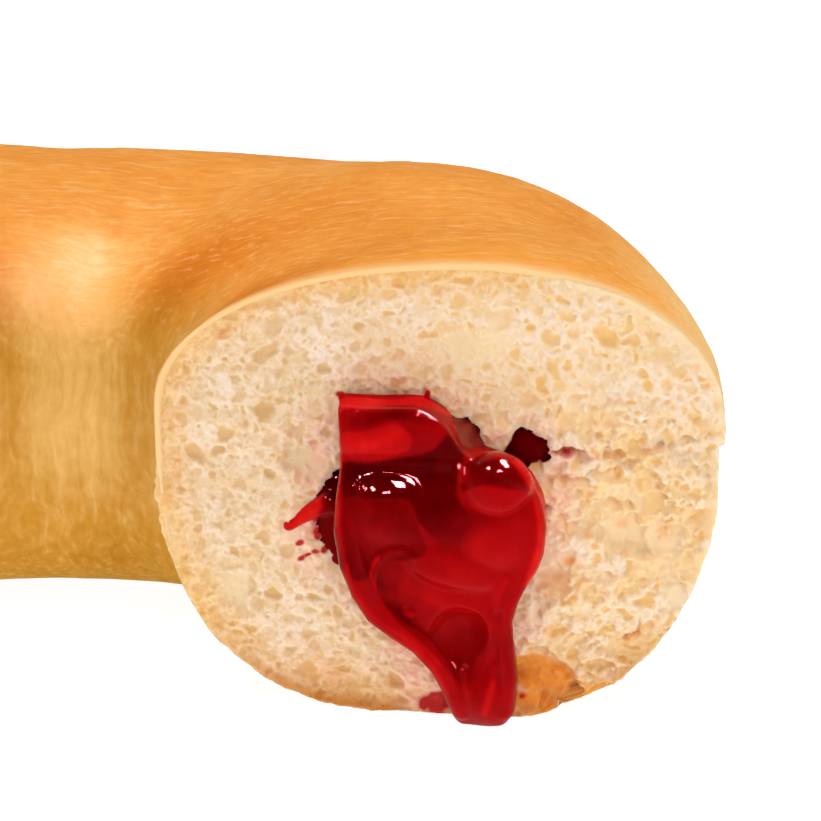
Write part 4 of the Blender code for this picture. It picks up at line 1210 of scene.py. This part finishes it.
def core_rings(first, last):
    """Rings of the jelly inside the channel, between two angles round the ring."""
    angles = math.tau * np.arange(CORE_ROUND) / CORE_ROUND
    rings = []
    for turn in np.linspace(first, last, CORE_ALONG):
        u, z = CORE_MIDDLE[0] + 8.0 * np.cos(angles), CORE_MIDDLE[1] + 6.1 * np.sin(angles)
        lumps = 0.35 * lattice_noise(np.stack([u, z, 0 * u + turn * RING_RADIUS], axis=-1), 2.0, 81)
        rings.append(on_ring(u + lumps * np.cos(angles), z + lumps * np.sin(angles), turn))
    return np.array(rings)


def make_core():
    """The filling between the two cuts: one closed piece, a little inside the channel's wall at its ends."""
    clear = 0.09
    rings = core_rings(clear, math.pi - clear)
    faces = tube_faces(*rings.shape[:2]).tolist()
    last = (CORE_ALONG - 1) * CORE_ROUND
    faces += [list(range(CORE_ROUND))[::-1], list(range(last, last + CORE_ROUND))]
    piece = make_piece("jelly_inside", rings.reshape(-1, 3), faces)
    give_values(piece, "light", np.full(rings.size // 3, 0.2))
    return piece


# The jelly from where no light comes through to where most does
JELLY_REDS = ((0.0, "#460002"), (0.2, "#700103"), (0.4, "#980508"), (0.6, "#B4090D"), (0.8, "#D21414"),
              (1.0, "#EE2C1E"))


def jelly_material():
    """Clear red pectin jelly: its dark and bright reds are painted light and shade, read from the stored
    light, with sharp shine.
    """
    material, tree, shader, made = new_material("clear red pectin jelly", ("light", "milky", "dull"))
    strand_size = (1 / (0.5 * MM), 1 / (0.9 * MM), 1 / (2.4 * MM))
    for row in (
        ("place", "TexCoord", "Object", {}),
        # faint strands, 0.5 by 0.9 by 2.4 mm, drawn down by the flow
        ("drawn", "Mapping", 0, {"Scale": strand_size, "Vector": "place"}),
        ("strands", "TexNoise", "Fac", {"Scale": 1.0, "Detail": 2.0, "Distortion": 0.8, "Vector": "drawn"}),
        ("stir", "MapRange", 0, {"Value": "strands", "From Min": 0.25, "From Max": 0.75, "To Min": -0.035,
                                 "To Max": 0.035}),
        ("level", "Math", 0, {"operation": "ADD", 0: "light", 1: "stir"}),
        ("red", "ValToRGB", 0, {"Fac": "level", "stops": JELLY_REDS}),
        # milky film, and the painted pale band of light along the edges
        ("colour", "Mix", 2, {"data_type": "RGBA", 0: "milky", 6: "red", 7: "#6A2418"}),
        # thin skins stretched over crumb don't shine
        ("shine", "MapRange", 0, {"Value": "dull", "To Min": 0.45, "To Max": 0.0}),
    ):
        add_node(tree, made, *row)
    set_up(tree, made, shader, {
        "Base Color": "colour", "Roughness": 0.045, "IOR": 1.38, "Specular IOR Level": "shine",
        "Specular Tint": (1.0, 0.10, 0.13, 1.0), "Transmission Weight": 0.08, "Subsurface Weight": 1.0,
        "Subsurface Radius": (1.0, 0.12, 0.10), "Subsurface Scale": 0.5 * MM})
    return material


# Thin film of jelly stretched from the top of the tongue to its shoulder: outer and inner edge
FILM_OUTER = (
    (-0.9, 25.95, 0.3), (-0.2, 25.35, 0.25), (0.6, 24.88, 0.2), (1.2, 24.4, 0.1), (1.8, 24.2, -0.3),
    (2.4, 24.0, -0.6), (2.8, 23.6, -0.6), (3.0, 23.0, -0.5), (3.2, 22.6, 0.0), (3.5, 22.4, 0.6),
)
FILM_INNER = (
    (-1.3, 25.7, 1.6), (-0.8, 25.4, 1.8), (-0.1, 25.0, 2.0), (0.4, 24.5, 2.2), (0.9, 23.9, 2.4),
    (1.3, 23.3, 2.5), (1.7, 22.7, 2.4), (2.2, 22.3, 2.2), (2.8, 22.1, 2.0), (3.4, 22.0, 1.9),
)


def make_film():
    """Thin skin between two edges, slightly slack."""
    steps = np.linspace(0, len(FILM_OUTER) - 1, 60)
    index = np.arange(len(FILM_OUTER))
    outer, inner = (np.stack([np.interp(steps, index, np.array(edge)[:, k]) for k in range(3)], axis=1)
                    for edge in (FILM_OUTER, FILM_INNER))
    across = np.linspace(-0.15, 1.05, 18)[:, None, None]
    sheet = outer + (inner - outer) * across
    sag = 0.25 * np.sin(math.pi * np.clip(across[..., 0], 0, 1))
    sheet[..., 2] += sag + 0.06 * lattice_noise(sheet, 0.8, 95)
    rows, columns = sheet.shape[:2]
    ids = np.arange(rows * columns).reshape(rows, columns)
    faces = np.stack([ids[:-1, :-1], ids[:-1, 1:], ids[1:, 1:], ids[1:, :-1]], axis=-1).reshape(-1, 4)
    flat = sheet.reshape(-1, 3)
    piece = make_piece("jelly_film", on_ring(flat[:, 0], flat[:, 1], 0.0, -flat[:, 2]), faces.tolist())
    give_values(piece, "light", np.full(len(flat), 0.30))
    give_values(piece, "dull", np.ones(len(flat)))
    milky = 0.5 - 0.45 * np.linspace(0, 1, rows)
    give_values(piece, "milky", milky.repeat(columns))
    return piece


jelly_finish = jelly_material()
TONGUE_FORMS = (
    (1, lump_depth, LUMPS),
    (-1, lump_depth, POOL),
    (1, roll_depth, ROLLS),
    (-1, lump_depth, DENTS),
    (-1, roll_depth, GROOVES),
    (1, lump_depth, DROPS),
)
tongue, tongue_points = make_spill("jelly_tongue", 1, SHEET, TONGUE_FORMS,
                                   (-12.4, -0.6, -3.2), (9.4, 27.2, 6.0))
bulge, bulge_points = make_spill("jelly_bulge", -1, LEFT_SHEET, ((1, lump_depth, LEFT_LUMPS),),
                                 (-10.0, 9.0, -3.2), (9.4, 27.0, 4.2))
light_through(tongue, tongue_points, SHEET, TONGUE_TONES)
light_through(bulge, bulge_points, LEFT_SHEET, ())
for piece in (tongue, bulge, make_core(), make_film()):
    piece.data.materials.append(jelly_finish)
    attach(piece, "root")
    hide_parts("jelly")

# ---------------------------------------------------------------------------------------------- stage
# A light table of white acrylic, soft studio light, and the camera in front of the cut and above it.
# The windows show only as highlights on the jelly.


def make_floor():
    half = 1500.0
    low = DOUGH_LOW[2] - 0.02
    corners = [(-half, -half, low), (half, -half, low), (half, half, low), (-half, half, low)]
    floor = make_piece("floor", corners, [(0, 1, 2, 3)], smooth=False)
    # white acrylic lit from below: it glows by itself, and takes almost no shadow
    material, tree, shader, made = new_material("lit white acrylic")
    set_up(tree, made, shader, {"Base Color": (0.1, 0.1, 0.1, 1.0), "Emission Color": (1.0, 1.0, 1.0, 1.0),
                                "Emission Strength": 0.95, "Roughness": 0.9})
    floor.data.materials.append(material)
    floor.visible_glossy = False


def add_light(name, place, target, size, power, turn, window):
    """Area light; a window shows in reflections alone, and a softbox everywhere else."""
    lamp = bpy.data.lights.new(name, "AREA")
    lamp.shape = "RECTANGLE"
    lamp.size, lamp.size_y = size
    lamp.energy = power
    holder = bpy.data.objects.new(name, lamp)
    holder.location = place
    holder.visible_glossy = window
    holder.visible_diffuse = holder.visible_transmission = not window
    aim = (Vector(target) - Vector(place)).to_track_quat("-Z", "Y")
    holder.rotation_euler = (aim @ Quaternion((0, 0, 1), math.radians(turn))).to_euler()
    bpy.context.scene.collection.objects.link(holder)


make_floor()
middle = Vector((AXIS_X + RING_RADIUS, CUT_Y, DOUGH_TALL / 2)) * MM
table = Vector((middle.x, middle.y, DOUGH_LOW[2] * MM))
# name, place, what it points at, size, power, turn, and whether it is a window
for light in (
    ("front softbox", middle + Vector((0.12, -0.61, 0.42)), middle, (0.5, 0.5), 1.72, 0.0, False),
    ("overhead softbox", middle + Vector((-0.05, 0.05, 0.75)), middle, (0.6, 0.6), 3.2, 0.0, False),
    ("light table glow", table + Vector((0, 0, 0.0001)), table + Vector((0, 0, 1)), (1.6, 1.6), 2.8, 0.0,
     True),
    ("long window", middle + Vector((0.16, 0.0, 0.57)), middle, (0.34, 0.13), 58.0, 25.0, True),
    ("small window", middle + Vector((-0.22, -0.20, 0.50)), middle, (0.12, 0.06), 12.0, -20.0, True),
    ("front window", middle + Vector((0.05, -0.34, 0.49)), middle, (0.14, 0.06), 8.0, 10.0, True),
):
    add_light(*light)
world = bpy.data.worlds.new("studio")
world.use_nodes = True
world.node_tree.nodes["Background"].inputs["Color"].default_value = (1, 1, 1, 1)
world.node_tree.nodes["Background"].inputs["Strength"].default_value = 0.4
world.cycles_visibility.glossy = False
bpy.context.scene.world = world
bpy.context.scene.view_settings.view_transform = "Standard"

lens = bpy.data.cameras.new("camera")
lens.sensor_width = 36.0
lens.lens = 170.57
camera = bpy.data.objects.new("camera", lens)
camera.location = Vector((AXIS_X + 45.88, CUT_Y - 265.08, 133.77)) * MM
camera.rotation_euler = Vector((-0.0663, 0.9230, -0.3790)).to_track_quat("-Z", "Y").to_euler()
bpy.context.scene.collection.objects.link(camera)
bpy.context.scene.camera = camera
